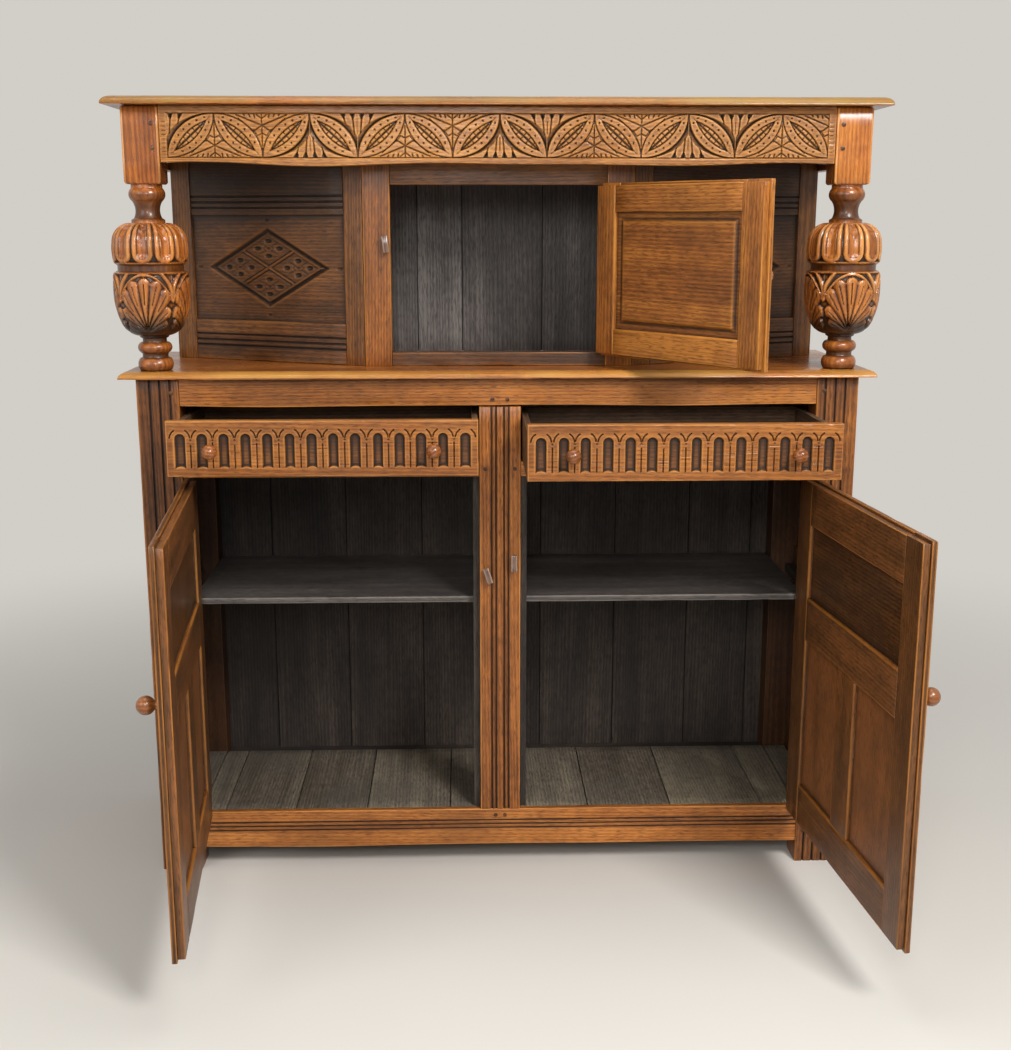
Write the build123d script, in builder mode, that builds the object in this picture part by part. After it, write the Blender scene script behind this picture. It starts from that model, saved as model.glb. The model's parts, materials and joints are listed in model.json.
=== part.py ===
"""Court cupboard: an open-fronted canopied upper stage on a cupboard with two drawers and two doors.

Millimetres, +Z up.  The origin is the centre of the underside of the front left foot, +X runs
along the front to the right and +Y runs to the back.  Most pieces are set out from two datums:
u is measured from the centre line of the front, and v from the front face of the posts.
"""

import os
from math import atan2, cos, degrees, hypot, pi, radians, sin

from build123d import *

# Lower stage: the case
body_width = 1300
body_depth = 376
post_width = 76
post_depth = 62
foot_height = 42
bottom_rail_height = 75
door_opening_height = 650
drawer_rail_height = 28
drawer_opening_height = 100
top_rail_height = 53
rail_thick = 28
rail_set = 1.5
stile_width = 76
stile_depth = 30
stile_shoulder = 12
side_rail_height = 62
side_mid_height = 60
side_mid_level = 500
side_panel_set = 12
panel_thick = 9
panel_groove = 8
board_thick = 10
board_rebate = 12
back_rail_thick = 22
floor_thick = 12
floor_ledge = 14
shelf_level = 533
shelf_thick = 12
shelf_set = 32
stop_width = 11.5
stop_depth = 15
runner_width = 22
runner_height = 20
guide_rise = 20
bearer_size = 16

# Joints, clearances and small fixings
seam = 0.2
tenon_thick = 9
tenon_length = 28
side_tenon_length = 14
stile_tenon_length = 26
cross_tenon_length = 14
tenon_shoulder = 9
front_tenon_set = 9
side_tenon_set = 18
back_tenon_set = 6
frieze_tenon_set = 7
frieze_tenon_length = 24
upper_tenon_set = 8
upper_tenon_length = 26
peg_radius = 4
peg_length = 26
peg_proud = 1
peg_gap = 0.1
peg_share = 0.3
stile_peg_inset = 11

# Reeding on posts, stile and rails
groove_width = 3
groove_depth = 2.5
post_groove_first = 24
post_groove_step = 18
stile_groove_first = 9
stile_groove_second = 19
rail_groove_step = 8
rail_reed_share = 0.58
cant_reed_step = 10.4
cant_reed_below = 38
cant_reed_above = 24

# Lower top and canopy top
top_thick = 13
top_overhang_side = 26
top_overhang_front = 24
top_edge_round = 8
top_overhang_back = 2
canopy_overhang = 27
canopy_thick = 15
canopy_edge_round = 8

# Upper stage
canopy_inset = 2
canopy_forward = 10
column_block = 64
turned_height = 323
turned_radius = 66.5
block_height = 131
frieze_height = 100
frieze_thick = 24
frieze_set = 2
dowel_radius = 11
dowel_length = 8
dowel_play = 2
cupboard_set = 74
upper_opening_width = 391
upper_opening_height = 299
upper_sill = 25
upper_stile_width = 50
upper_stile_thick = 24.5
cant_outer_set = 257
cant_thick = 22
cant_stile_width = 41
cant_post_face = 42.6
cant_bottom_rail = 76
cant_panel_height = 195
rear_post_width = 62
cant_tenon_set = 14
cant_tenon_thick = 8
cant_tenon_length = 20
cant_panel_set = 15

# Doors: a framed leaf whose outer face laps over the frame by a lip
lip_proud = 9
lip_lap = 3
lip_gap = 0.5
leaf_thick = 21
leaf_gap = 1.5
leaf_stile = 62
leaf_rail = 76
leaf_mid_rail = 80
leaf_muntin = 76
leaf_upper_panel = 134
upper_leaf_stile = 46
upper_leaf_rail = 46
door_panel_thick = 8
field_rise = 3
field_margin = 18
leaf_tenon = 6
leaf_tenon_length = 22
panel_play = 1
left_door_angle = 84.4
right_door_angle = 95.6
upper_door_angle = 127

# Hinges
barrel_radius = 3.5
hinge_pin_radius = 1.6
hinge_pin_gap = 0.06
hinge_leaf_thick = 1
hinge_leaf_gap = 0.5
barrel_gap = 0.5
hinge_length = 50
knuckle_gap = 0.3
hinge_plate_start = 4.2
hinge_inset = 70
upper_hinge_inset = 45

# Drawers
drawer_gap = 2.5
drawer_lift = 0.3
drawer_face = 0.5
drawer_front_height = 96
drawer_front_thick = 20
drawer_side_thick = 11
drawer_side_height = 84
drawer_bottom_thick = 7
drawer_bottom_rise = 8
drawer_length = 318
left_drawer_out = 142
right_drawer_out = 203

# Turned knobs and turn-buttons
door_knob_radius = 15
drawer_knob_radius = 13
knob_stem = 9
knob_spigot = 12
knob_neck = 0.38
knob_flange_thick = 2
knob_ring = 3
door_knob_drop = 245
door_knob_inset = 30
upper_knob_inset = 26
drawer_knob_inset = 76
drawer_knob_level = 46
button_width = 10
button_length = 30
button_thick = 6
button_boss_radius = 4.5
button_pin_radius = 1.6
button_pin_length = 12
button_gap = 0.06
button_offset = 25.5
left_button_level = 592
right_button_level = 616
upper_button_level = 1190
upper_button_inset = 10
button_tilts = (18, 0, 8)
button_clear = 1

# Places worked out from the sizes above
mid_x = (body_width - post_width) / 2
front_y = -post_depth / 2
half_width = body_width / 2
bay_edge = half_width - post_width
inner_wall = half_width - rail_thick
floor_level = foot_height + bottom_rail_height
drawer_rail_under = floor_level + door_opening_height
drawer_floor = drawer_rail_under + drawer_rail_height
top_rail_under = drawer_floor + drawer_opening_height
post_height = top_rail_under + top_rail_height
back_face = body_depth - board_rebate
rail_v = (rail_set, rail_set + rail_thick)
back_rail_v = (back_face - back_rail_thick, back_face)
top_level = post_height + top_thick
canopy_under = top_level + turned_height + block_height
frieze_under = canopy_under - frieze_height
half_canopy = half_width - canopy_inset
column_u = half_canopy - column_block / 2
column_v = column_block / 2 - canopy_forward
half_upper = upper_opening_width / 2
upper_frame = half_upper + upper_stile_width
upper_sill_level = top_level + upper_sill
upper_head = upper_sill_level + upper_opening_height
outer_u = half_canopy - frieze_set - frieze_thick
cant_run = outer_u - upper_frame
cant_rise = cant_outer_set - cupboard_set
cant_length = hypot(cant_run, cant_rise)
cant_angle = atan2(cant_rise, cant_run)
centre_plane = Plane.YZ.offset(mid_x)

os.makedirs("parts", exist_ok=True)

from_corner = (Align.MIN, Align.MIN, Align.MIN)
from_face = (Align.CENTER, Align.CENTER, Align.MIN)
down_from = (Align.CENTER, Align.CENTER, Align.MAX)


def slab(u, v, z, mode=Mode.ADD):
    """A square-edged piece between two values each of u, v and z."""
    with Locations((mid_x + u[0], front_y + v[0], z[0])):
        Box(u[1] - u[0], v[1] - v[0], z[1] - z[0], align=from_corner, mode=mode)


def pocket(u, v, z):
    """A hole for the same piece as slab would make, larger by the seam all round."""
    grown = [(low - seam, high + seam) for low, high in (u, v, z)]
    slab(*grown, Mode.SUBTRACT)


def local_slab(x, y, z, mode=Mode.ADD):
    """A square-edged piece in the frame of the builder's own workplane."""
    with Locations((min(x), min(y), min(z))):
        size = (abs(x[1] - x[0]), abs(y[1] - y[0]), abs(z[1] - z[0]))
        Box(*size, align=from_corner, mode=mode)


def local_pocket(x, y, z):
    """A hole for a local_slab, larger by the seam all round."""
    grown = [(min(pair) - seam, max(pair) + seam) for pair in (x, y, z)]
    local_slab(*grown, Mode.SUBTRACT)


def peg(u, z, v=0, mode=Mode.ADD, grow=0.0):
    """A round oak peg driven in from the front at u and z, its face a little proud of v."""
    with Locations(Plane((mid_x + u, front_y + v - peg_proud, z), z_dir=(0, 1, 0))):
        Cylinder(peg_radius + grow, peg_length + peg_proud + grow, align=from_face, mode=mode)


def save(piece, label):
    """Names a finished piece and writes it."""
    piece.part.label = label
    export_step(piece.part, f"parts/{label}.step")


def mirrored(piece):
    """The same piece on the other side of the centre line."""
    with BuildPart() as other:
        mirror(piece.part, about=centre_plane)
    return other


def save_both(piece, label):
    """Writes a left-hand piece and its right-hand twin as one group."""
    with BuildPart() as both:
        add(piece.part)
        add(mirrored(piece).part)
    save(both, label)


def save_pair(piece, name):
    """Writes a left-hand piece and its right-hand twin."""
    save(piece, f"{name[0]}_left_{name[1]}" if name[0] else f"left_{name[1]}")
    save(mirrored(piece), f"{name[0]}_right_{name[1]}" if name[0] else f"right_{name[1]}")


# Tenons: the tongue at a rail's end, shared by the rail and by what it enters
front_tenon_v = (rail_v[0] + front_tenon_set, rail_v[0] + front_tenon_set + tenon_thick)
side_tenon_u = (half_width - side_tenon_set - tenon_thick, half_width - side_tenon_set)
side_panel_u = (-half_width + side_panel_set, -half_width + side_panel_set + panel_thick)
side_slot_u = (side_panel_u[0] - seam, side_panel_u[1] + seam)
front_levels = {
    "top": (top_rail_under, post_height),
    "drawer": (drawer_rail_under, drawer_floor),
    "bottom": (foot_height, floor_level),
}
side_levels = {
    "top": (post_height - side_rail_height, post_height),
    "middle": (side_mid_level, side_mid_level + side_mid_height),
    "bottom": (foot_height, foot_height + side_rail_height),
}
back_levels = {
    "top": (post_height - side_rail_height, post_height),
    "middle": (drawer_rail_under, drawer_floor),
    "bottom": (foot_height, floor_level - floor_thick),
}
back_tenon_v = (back_rail_v[0] + back_tenon_set, back_rail_v[0] + back_tenon_set + tenon_thick)
front_peg_levels = {
    "top": ((front_levels["top"][0] + front_levels["top"][1]) / 2,),
    "drawer": ((front_levels["drawer"][0] + front_levels["drawer"][1]) / 2,),
    "bottom": (foot_height + bottom_rail_height * peg_share, floor_level - bottom_rail_height * peg_share),
}
post_peg_u = bay_edge + tenon_length / 2
stile_peg_u = stile_width / 2 - stile_peg_inset
post_grooves = [half_width - post_groove_first - post_groove_step * i for i in range(3)]


def tongue_z(levels):
    """The height of a rail's tenon: the rail less a shoulder above and below."""
    shoulder = min(tenon_shoulder, (levels[1] - levels[0]) / 4)
    return levels[0] + shoulder, levels[1] - shoulder


def side_panel_grooves(v):
    """The grooves in a post that hold the two side panels."""
    for low, high in (("bottom", "middle"), ("middle", "top")):
        slot_z = (side_levels[low][1] - panel_groove, side_levels[high][0] + panel_groove)
        slab(side_slot_u, v, slot_z, Mode.SUBTRACT)


# Front posts, which run down to the floor as feet
with BuildPart() as front_post:
    slab((-half_width, -bay_edge), (0, post_depth), (0, post_height))
    for groove_u in post_grooves:
        slab((-groove_u - groove_width / 2, -groove_u + groove_width / 2), (-1, groove_depth),
             (-1, post_height + 1), Mode.SUBTRACT)
    for name, levels in front_levels.items():
        pocket((-bay_edge - tenon_length, -bay_edge + 1), front_tenon_v, tongue_z(levels))
        for level in front_peg_levels[name]:
            peg(-post_peg_u, level, mode=Mode.SUBTRACT, grow=peg_gap)
    for levels in side_levels.values():
        pocket((-side_tenon_u[1], -side_tenon_u[0]), (post_depth - side_tenon_length, post_depth + 1),
               tongue_z(levels))
    side_panel_grooves((post_depth - panel_groove, post_depth + 1))
save_pair(front_post, ("front", "post"))

# Rear posts, rebated for the back boards
rear_v = body_depth - post_depth
with BuildPart() as rear_post:
    slab((-half_width, -bay_edge), (rear_v, body_depth), (0, post_height))
    slab((-bay_edge - board_rebate, -bay_edge + 1), (back_face - seam, body_depth + 1),
         (foot_height, post_height + 1), Mode.SUBTRACT)
    for levels in back_levels.values():
        pocket((-bay_edge - tenon_length, -bay_edge + 1), back_tenon_v, tongue_z(levels))
    for levels in side_levels.values():
        pocket((-side_tenon_u[1], -side_tenon_u[0]), (rear_v - 1, rear_v + side_tenon_length),
               tongue_z(levels))
    side_panel_grooves((rear_v - 1, rear_v + panel_groove))
save_pair(rear_post, ("rear", "post"))

# Centre stile between the top rail and the bottom rail, reeded like the posts
stile_half = stile_width / 2
stile_tenon_v = front_tenon_v
stile_tenon_u = (-stile_half + stile_shoulder, stile_half - stile_shoulder)
stile_tenon_top = (top_rail_under - 1, top_rail_under + stile_tenon_length)
stile_tenon_foot = (floor_level - stile_tenon_length, floor_level + 1)
stile_top_peg = top_rail_under + stile_tenon_length / 2
stile_top_peg_u = stile_groove_first * 1.5
stile_foot_peg = floor_level - stile_tenon_length / 2
with BuildPart() as centre_stile:
    slab((-stile_half, stile_half), (0, stile_depth), (floor_level + seam, top_rail_under - seam))
    slab(stile_tenon_u, stile_tenon_v, stile_tenon_top)
    slab(stile_tenon_u, stile_tenon_v, stile_tenon_foot)
    for groove_u in (-stile_groove_second, -stile_groove_first, stile_groove_first, stile_groove_second):
        slab((groove_u - groove_width / 2, groove_u + groove_width / 2), (-1, groove_depth),
             (floor_level - 1, top_rail_under + 1), Mode.SUBTRACT)
    for side in (-1, 1):
        tongue = sorted((side * (stile_half + 1), side * (stile_half - cross_tenon_length)))
        pocket(tongue, front_tenon_v, tongue_z(front_levels["drawer"]))
        peg(side * stile_peg_u, front_peg_levels["drawer"][0], mode=Mode.SUBTRACT, grow=peg_gap)
        peg(side * stile_top_peg_u, stile_top_peg, v=rail_set, mode=Mode.SUBTRACT, grow=peg_gap)
        peg(side * stile_groove_first, stile_foot_peg, v=rail_set, mode=Mode.SUBTRACT, grow=peg_gap)
        button_level = left_button_level if side < 0 else right_button_level
        hole = (mid_x + side * button_offset, front_y - 1, button_level)
        with Locations(Plane(hole, z_dir=(0, 1, 0))):
            Cylinder(button_pin_radius + button_gap, button_pin_length + 2 * button_clear,
                     align=from_face, mode=Mode.SUBTRACT)
save(centre_stile, "centre_stile")

# Front top rail, with the stile's mortise
with BuildPart() as front_top_rail:
    slab((-bay_edge + seam, bay_edge - seam), rail_v, (top_rail_under, post_height))
    slab((-bay_edge - tenon_length, bay_edge + tenon_length), front_tenon_v, tongue_z(front_levels["top"]))
    pocket(stile_tenon_u, stile_tenon_v, stile_tenon_top)
    for side in (-1, 1):
        peg(side * stile_top_peg_u, stile_top_peg, v=rail_set, mode=Mode.SUBTRACT, grow=peg_gap)
        peg(side * post_peg_u, front_peg_levels["top"][0], mode=Mode.SUBTRACT, grow=peg_gap)
save(front_top_rail, "front_top_rail")

# Front bottom rail: a pair of reeds, the stile's mortise and a ledge for the floor boards
ledge_v = (floor_ledge - seam, rail_v[1] + 1)
reed_middle = foot_height + bottom_rail_height * rail_reed_share
with BuildPart() as front_bottom_rail:
    slab((-bay_edge + seam, bay_edge - seam), rail_v, (foot_height, floor_level))
    slab((-bay_edge - tenon_length, bay_edge + tenon_length), front_tenon_v,
         tongue_z(front_levels["bottom"]))
    slab((-bay_edge, bay_edge), ledge_v, (floor_level - floor_thick, floor_level + 1), Mode.SUBTRACT)
    pocket(stile_tenon_u, stile_tenon_v, stile_tenon_foot)
    for step in (-1, 0, 1):
        groove_z = reed_middle + step * rail_groove_step
        slab((-bay_edge, bay_edge), (-1, rail_v[0] + groove_depth),
             (groove_z - groove_width / 2, groove_z + groove_width / 2), Mode.SUBTRACT)
    for side in (-1, 1):
        peg(side * stile_groove_first, stile_foot_peg, v=rail_set, mode=Mode.SUBTRACT, grow=peg_gap)
        for level in front_peg_levels["bottom"]:
            peg(side * post_peg_u, level, mode=Mode.SUBTRACT, grow=peg_gap)
save(front_bottom_rail, "front_bottom_rail")

# Drawer rails, one to each bay, between a post and the centre stile
with BuildPart() as drawer_rails:
    for side in (-1, 1):
        slab(sorted((side * (bay_edge - seam), side * (stile_half + seam))), rail_v, front_levels["drawer"])
        slab(sorted((side * (bay_edge + tenon_length), side * (stile_half - cross_tenon_length + seam))),
             front_tenon_v, tongue_z(front_levels["drawer"]))
        peg(side * stile_peg_u, front_peg_levels["drawer"][0], mode=Mode.SUBTRACT, grow=peg_gap)
        peg(side * post_peg_u, front_peg_levels["drawer"][0], mode=Mode.SUBTRACT, grow=peg_gap)
save(drawer_rails, "drawer_rails")

# Side frames: three rails with tenons into the posts, and two plain panels held in their grooves
with BuildPart() as side_rails:
    for levels in side_levels.values():
        slab((-half_width + rail_set, -inner_wall), (post_depth + seam, rear_v - seam), levels)
        slab((-side_tenon_u[1], -side_tenon_u[0]),
             (post_depth - side_tenon_length + seam, rear_v + side_tenon_length - seam), tongue_z(levels))
    for low, high in (("bottom", "middle"), ("middle", "top")):
        slab(side_slot_u, (post_depth, rear_v),
             (side_levels[low][1] - panel_groove, side_levels[high][0] + panel_groove), Mode.SUBTRACT)
save_both(side_rails, "side_rails")

with BuildPart() as side_panels:
    for low, high in (("bottom", "middle"), ("middle", "top")):
        slab(side_panel_u,
             (post_depth - panel_groove + 1, rear_v + panel_groove - 1),
             (side_levels[low][1] - panel_groove + 1, side_levels[high][0] + panel_groove - 1))
save_both(side_panels, "side_panels")

# Back: three rails between the rear posts, and vertical boards nailed on behind them
with BuildPart() as back_rails:
    for levels in back_levels.values():
        slab((-bay_edge + seam, bay_edge - seam), back_rail_v, levels)
        slab((-bay_edge - tenon_length, bay_edge + tenon_length), back_tenon_v, tongue_z(levels))
save(back_rails, "back_rails")


def board_row(edges, v, z):
    """Boards side by side between the listed edges."""
    for low, high in zip(edges, edges[1:]):
        slab((low + seam / 2, high - seam / 2), v, z)


back_edge = bay_edge + board_rebate - seam
back_count = 8
with BuildPart() as back_boards:
    board_row([-back_edge + 2 * back_edge * i / back_count for i in range(back_count + 1)],
              (back_face, back_face + board_thick), (foot_height, post_height))
save(back_boards, "back_boards")

# Floor boards run front to back on the ledge of the bottom rail, the back rail and two bearers
floor_seams = (-527.6, -393.2, -256, -96.6, 36, 169.5, 330.3, 506.8)
floor_outer = inner_wall - seam
floor_z = (floor_level - floor_thick, floor_level)
with BuildPart() as floor_boards:
    board_row([-floor_outer, *floor_seams, floor_outer], (floor_ledge, back_face - seam), floor_z)
    for side in (-1, 1):
        beside_post = sorted((side * (bay_edge - seam), side * (floor_outer + 1)))
        slab(beside_post, (0, post_depth + seam), (0, post_height), Mode.SUBTRACT)
        slab(beside_post, (rear_v - seam, body_depth), (0, post_height), Mode.SUBTRACT)
    slab((-stile_half, stile_half), (0, stile_depth + seam), (0, post_height), Mode.SUBTRACT)
save(floor_boards, "floor_boards")

# Shelf across both bays, notched round the posts
with BuildPart() as shelf:
    slab((-floor_outer, floor_outer), (shelf_set, back_face - seam),
         (shelf_level - shelf_thick, shelf_level))
    for side in (-1, 1):
        beside_post = sorted((side * (bay_edge - seam), side * (floor_outer + 1)))
        slab(beside_post, (0, post_depth + seam), (0, post_height), Mode.SUBTRACT)
        slab(beside_post, (rear_v - seam, body_depth), (0, post_height), Mode.SUBTRACT)
save(shelf, "shelf")

# Bearers under the floor and the shelf, fixed to the side frames, and one along the back
with BuildPart() as bearers:
    for side in (-1, 1):
        against_side = sorted((side * (inner_wall - bearer_size), side * inner_wall))
        between_posts = (post_depth + 1, rear_v - 1)
        for under in (floor_level - floor_thick, shelf_level - shelf_thick):
            slab(against_side, between_posts, (under - bearer_size, under))
    slab((-bay_edge + 1, bay_edge - 1), (back_face - bearer_size, back_face),
         (shelf_level - shelf_thick - bearer_size, shelf_level - shelf_thick))
save(bearers, "shelf_and_floor_bearers")

# Door stops: strips behind the hinge posts and beside the centre stile
stop_v = (stop_depth, stop_depth + stop_depth)
with BuildPart() as door_stops:
    for side in (-1, 1):
        for edge, inward in ((bay_edge, -1), (stile_half, 1)):
            strip = sorted((side * (edge + inward * seam), side * (edge + inward * stop_width)))
            slab(strip, stop_v, (floor_level + seam, drawer_rail_under - seam))
save(door_stops, "door_stops")

# Drawer runners: one beside each post and a shared one in the middle, with guides that rise above them
runner_z = (drawer_floor - runner_height, drawer_floor)
guide_z = (drawer_floor - runner_height, drawer_floor + guide_rise)
runner_v = (rail_v[1], back_rail_v[0])
with BuildPart() as drawer_runners:
    slab((-stile_half - runner_width, stile_half + runner_width), (stile_depth, runner_v[1]), runner_z)
    slab((-stile_half, stile_half), (stile_depth, runner_v[1]), guide_z)
    for side in (-1, 1):
        slab(sorted((side * (bay_edge - runner_width), side * (bay_edge - seam))), runner_v, runner_z)
        slab(sorted((side * (bay_edge - seam), side * (bay_edge + runner_width))),
             (post_depth, rear_v), guide_z)
save(drawer_runners, "drawer_runners")

# Lower top, with sockets for the dowels of the two columns
top_half = half_width + top_overhang_side
with BuildPart() as lower_top:
    slab((-top_half, top_half), (-top_overhang_front, body_depth + top_overhang_back),
         (post_height, top_level))
    rounded = lower_top.edges().filter_by(Axis.Z, reverse=True).group_by(Axis.Z)[-1]
    fillet(rounded.sort_by(Axis.Y)[:-1], top_edge_round)
    for side in (-1, 1):
        with Locations((mid_x + side * column_u, front_y + column_v, top_level + 1)):
            Cylinder(dowel_radius + seam, dowel_length + dowel_play, align=down_from,
                     mode=Mode.SUBTRACT)
save(lower_top, "lower_top")


def turned(*points):
    """Points of the turning, as shares of its largest radius and of its height."""
    return [(turned_radius * radius, turned_height * height) for radius, height in points]


# Upper stage columns: a turned cup and cover under a square block, all one piece with its dowel
block_z = (top_level + turned_height, canopy_under)
frieze_v = (frieze_set - canopy_forward, frieze_set - canopy_forward + frieze_thick)
frieze_tenon_v = (frieze_v[0] + frieze_tenon_set, frieze_v[0] + frieze_tenon_set + tenon_thick)
side_frieze_u = (outer_u, outer_u + frieze_thick)
side_frieze_tenon_u = (outer_u + frieze_tenon_set, outer_u + frieze_tenon_set + tenon_thick)
block_back = column_block - canopy_forward
frieze_z = (frieze_under, canopy_under)
column_centre = (mid_x - column_u, front_y + column_v, top_level)
frieze_edge = half_canopy - column_block
block_peg_u = frieze_edge + frieze_tenon_length / 2
block_peg_levels = (frieze_under + frieze_height * peg_share, canopy_under - frieze_height * peg_share)
with BuildPart() as column:
    with BuildSketch(Plane(column_centre, x_dir=(1, 0, 0), z_dir=(0, -1, 0))):
        with BuildLine():
            Polyline(*turned((0.000, 0.000), (0.406, 0.000)))
            ThreePointArc(*turned((0.406, 0.000), (0.466, 0.034), (0.406, 0.068)))
            Polyline(*turned((0.406, 0.068), (0.338, 0.074), (0.338, 0.093), (0.376, 0.099)))
            ThreePointArc(*turned((0.376, 0.099), (0.451, 0.127), (0.376, 0.155)))
            Polyline(*turned((0.376, 0.155), (0.316, 0.158), (0.316, 0.176), (0.376, 0.183)))
            Line(*turned((0.376, 0.183), (0.391, 0.192)))
            ThreePointArc(*turned((0.391, 0.192), (0.654, 0.214), (0.812, 0.254)))
            ThreePointArc(*turned((0.812, 0.254), (0.955, 0.341), (1.000, 0.433)))
            ThreePointArc(*turned((1.000, 0.433), (0.997, 0.483), (0.977, 0.533)))
            Polyline(*turned((0.977, 0.533), (0.857, 0.545), (0.857, 0.573), (0.955, 0.588)))
            ThreePointArc(*turned((0.955, 0.588), (0.997, 0.637), (0.985, 0.697)))
            ThreePointArc(*turned((0.985, 0.697), (0.884, 0.757), (0.436, 0.799)))
            Polyline(*turned((0.436, 0.799), (0.436, 0.814), (0.361, 0.824)))
            ThreePointArc(*turned((0.361, 0.824), (0.316, 0.867), (0.391, 0.913)))
            ThreePointArc(*turned((0.391, 0.913), (0.475, 0.947), (0.406, 0.981)))
            Polyline(*turned((0.406, 0.981), (0.406, 1.003), (0.000, 1.003), (0.000, 0.000)))
        make_face()
    revolve(axis=Axis(column_centre, (0, 0, 1)))
    slab((-half_canopy, -half_canopy + column_block), (-canopy_forward, block_back), block_z)
    with Locations((column_centre[0], column_centre[1], top_level + 1)):
        Cylinder(dowel_radius, dowel_length, align=down_from)
    pocket((-frieze_edge - frieze_tenon_length, -frieze_edge + 1), frieze_tenon_v, tongue_z(frieze_z))
    pocket((-side_frieze_tenon_u[1], -side_frieze_tenon_u[0]),
           (block_back - frieze_tenon_length, block_back + 1), tongue_z(frieze_z))
    for level in block_peg_levels:
        peg(-block_peg_u, level, v=-canopy_forward, mode=Mode.SUBTRACT, grow=peg_gap)
save_pair(column, ("", "column"))

# Canopy rails: the carved front frieze and a plain one along each side
with BuildPart() as front_frieze:
    slab((-frieze_edge + seam, frieze_edge - seam), frieze_v, frieze_z)
    slab((-frieze_edge - frieze_tenon_length, frieze_edge + frieze_tenon_length), frieze_tenon_v,
         tongue_z(frieze_z))
    for side in (-1, 1):
        for level in block_peg_levels:
            peg(side * block_peg_u, level, v=-canopy_forward, mode=Mode.SUBTRACT, grow=peg_gap)
save(front_frieze, "front_frieze_rail")

with BuildPart() as side_frieze:
    slab((-side_frieze_u[1], -side_frieze_u[0]), (block_back + seam, body_depth), frieze_z)
    slab((-side_frieze_tenon_u[1], -side_frieze_tenon_u[0]),
         (block_back - frieze_tenon_length + seam, block_back + 1), tongue_z(frieze_z))
save_both(side_frieze, "side_frieze_rails")

# Canopy top
canopy_half = half_canopy + canopy_overhang
with BuildPart() as canopy_top:
    slab((-canopy_half, canopy_half), (-canopy_forward - canopy_overhang, body_depth + top_overhang_back),
         (canopy_under, canopy_under + canopy_thick))
    rounded = canopy_top.edges().filter_by(Axis.Z, reverse=True).group_by(Axis.Z)[-1]
    fillet(rounded.sort_by(Axis.Y)[:-1], canopy_edge_round)
save(canopy_top, "canopy_top")


# Pegs through the tenons of the front rails, the centre stile and the canopy frieze
with BuildPart() as pegs:
    for side in (-1, 1):
        for name in front_levels:
            for level in front_peg_levels[name]:
                peg(side * post_peg_u, level)
        peg(side * stile_peg_u, front_peg_levels["drawer"][0])
        peg(side * stile_top_peg_u, stile_top_peg, v=rail_set)
        peg(side * stile_groove_first, stile_foot_peg, v=rail_set)
        for level in block_peg_levels:
            peg(side * block_peg_u, level, v=-canopy_forward)
save(pegs, "pegs")

# Upper cupboard front: two stiles, a sill rail and a deep head rail
upper_v = (cupboard_set, cupboard_set + upper_stile_thick)
upper_tenon_v = (cupboard_set + upper_tenon_set, cupboard_set + upper_tenon_set + tenon_thick)
sill_z = (top_level, upper_sill_level)
head_z = (upper_head, canopy_under)
with BuildPart() as upper_stile:
    slab((-upper_frame, -half_upper), upper_v, (top_level, canopy_under))
    for levels in (sill_z, head_z):
        pocket((-half_upper - upper_tenon_length, -half_upper + 1), upper_tenon_v, tongue_z(levels))
upper_right_stile = mirrored(upper_stile)
with BuildPart() as upper_left_stile:
    add(upper_stile.part)
    hole = (mid_x - half_upper - upper_button_inset, front_y + cupboard_set - 1, upper_button_level)
    with Locations(Plane(hole, z_dir=(0, 1, 0))):
        Cylinder(button_pin_radius + button_gap, button_pin_length + 2 * button_clear,
                 align=from_face, mode=Mode.SUBTRACT)
save(upper_left_stile, "upper_left_stile")
save(upper_right_stile, "upper_right_stile")

with BuildPart() as upper_front_rails:
    for levels in (sill_z, head_z):
        slab((-half_upper + seam, half_upper - seam), (upper_v[0] + rail_set, upper_v[1]), levels)
        slab((-half_upper - upper_tenon_length, half_upper + upper_tenon_length), upper_tenon_v,
             tongue_z(levels))
save(upper_front_rails, "upper_front_rails")

# Canted sides: a frame on the splayed line from the front stile back to the rear post.
# Along the cant x is the distance from the front stile, y is outward and z is up.
cant_start = (mid_x - upper_frame, front_y + cupboard_set, 0)
cant_plane = Plane(cant_start, x_dir=(-cos(cant_angle), sin(cant_angle), 0), z_dir=(0, 0, 1))
cant_reach = cant_length - cant_post_face
cant_bottom_z = (top_level, top_level + cant_bottom_rail)
cant_top_z = (top_level + cant_bottom_rail + cant_panel_height, canopy_under)
cant_tenon_y = (-cant_tenon_set, -cant_tenon_set + cant_tenon_thick)
cant_groove_y = (-cant_panel_set - seam, -cant_panel_set + panel_thick + seam)
cant_mitre = cant_thick * sin(cant_angle) / cos(cant_angle)

with BuildPart() as cant_stile:
    with BuildSketch(cant_plane.offset(top_level)):
        with BuildLine():
            Polyline((seam, 0), (cant_stile_width, 0), (cant_stile_width, -cant_thick),
                     (cant_mitre + seam, -cant_thick), (seam, 0))
        make_face()
    extrude(amount=canopy_under - top_level)
with BuildPart(cant_plane) as cant_stile_cuts:
    for levels in (cant_bottom_z, cant_top_z):
        local_slab((cant_stile_width - cant_tenon_length - seam, cant_stile_width + 1),
                   (cant_tenon_y[0] - seam, cant_tenon_y[1] + seam),
                   (tongue_z(levels)[0] - seam, tongue_z(levels)[1] + seam))
    local_slab((cant_stile_width - panel_groove, cant_stile_width + 1), cant_groove_y,
               (cant_bottom_z[1] - panel_groove, cant_top_z[0] + panel_groove))
with BuildPart() as cant_front_stile:
    add(cant_stile.part)
    add(cant_stile_cuts.part, mode=Mode.SUBTRACT)
save_pair(cant_front_stile, ("cant", "stile"))

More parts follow.
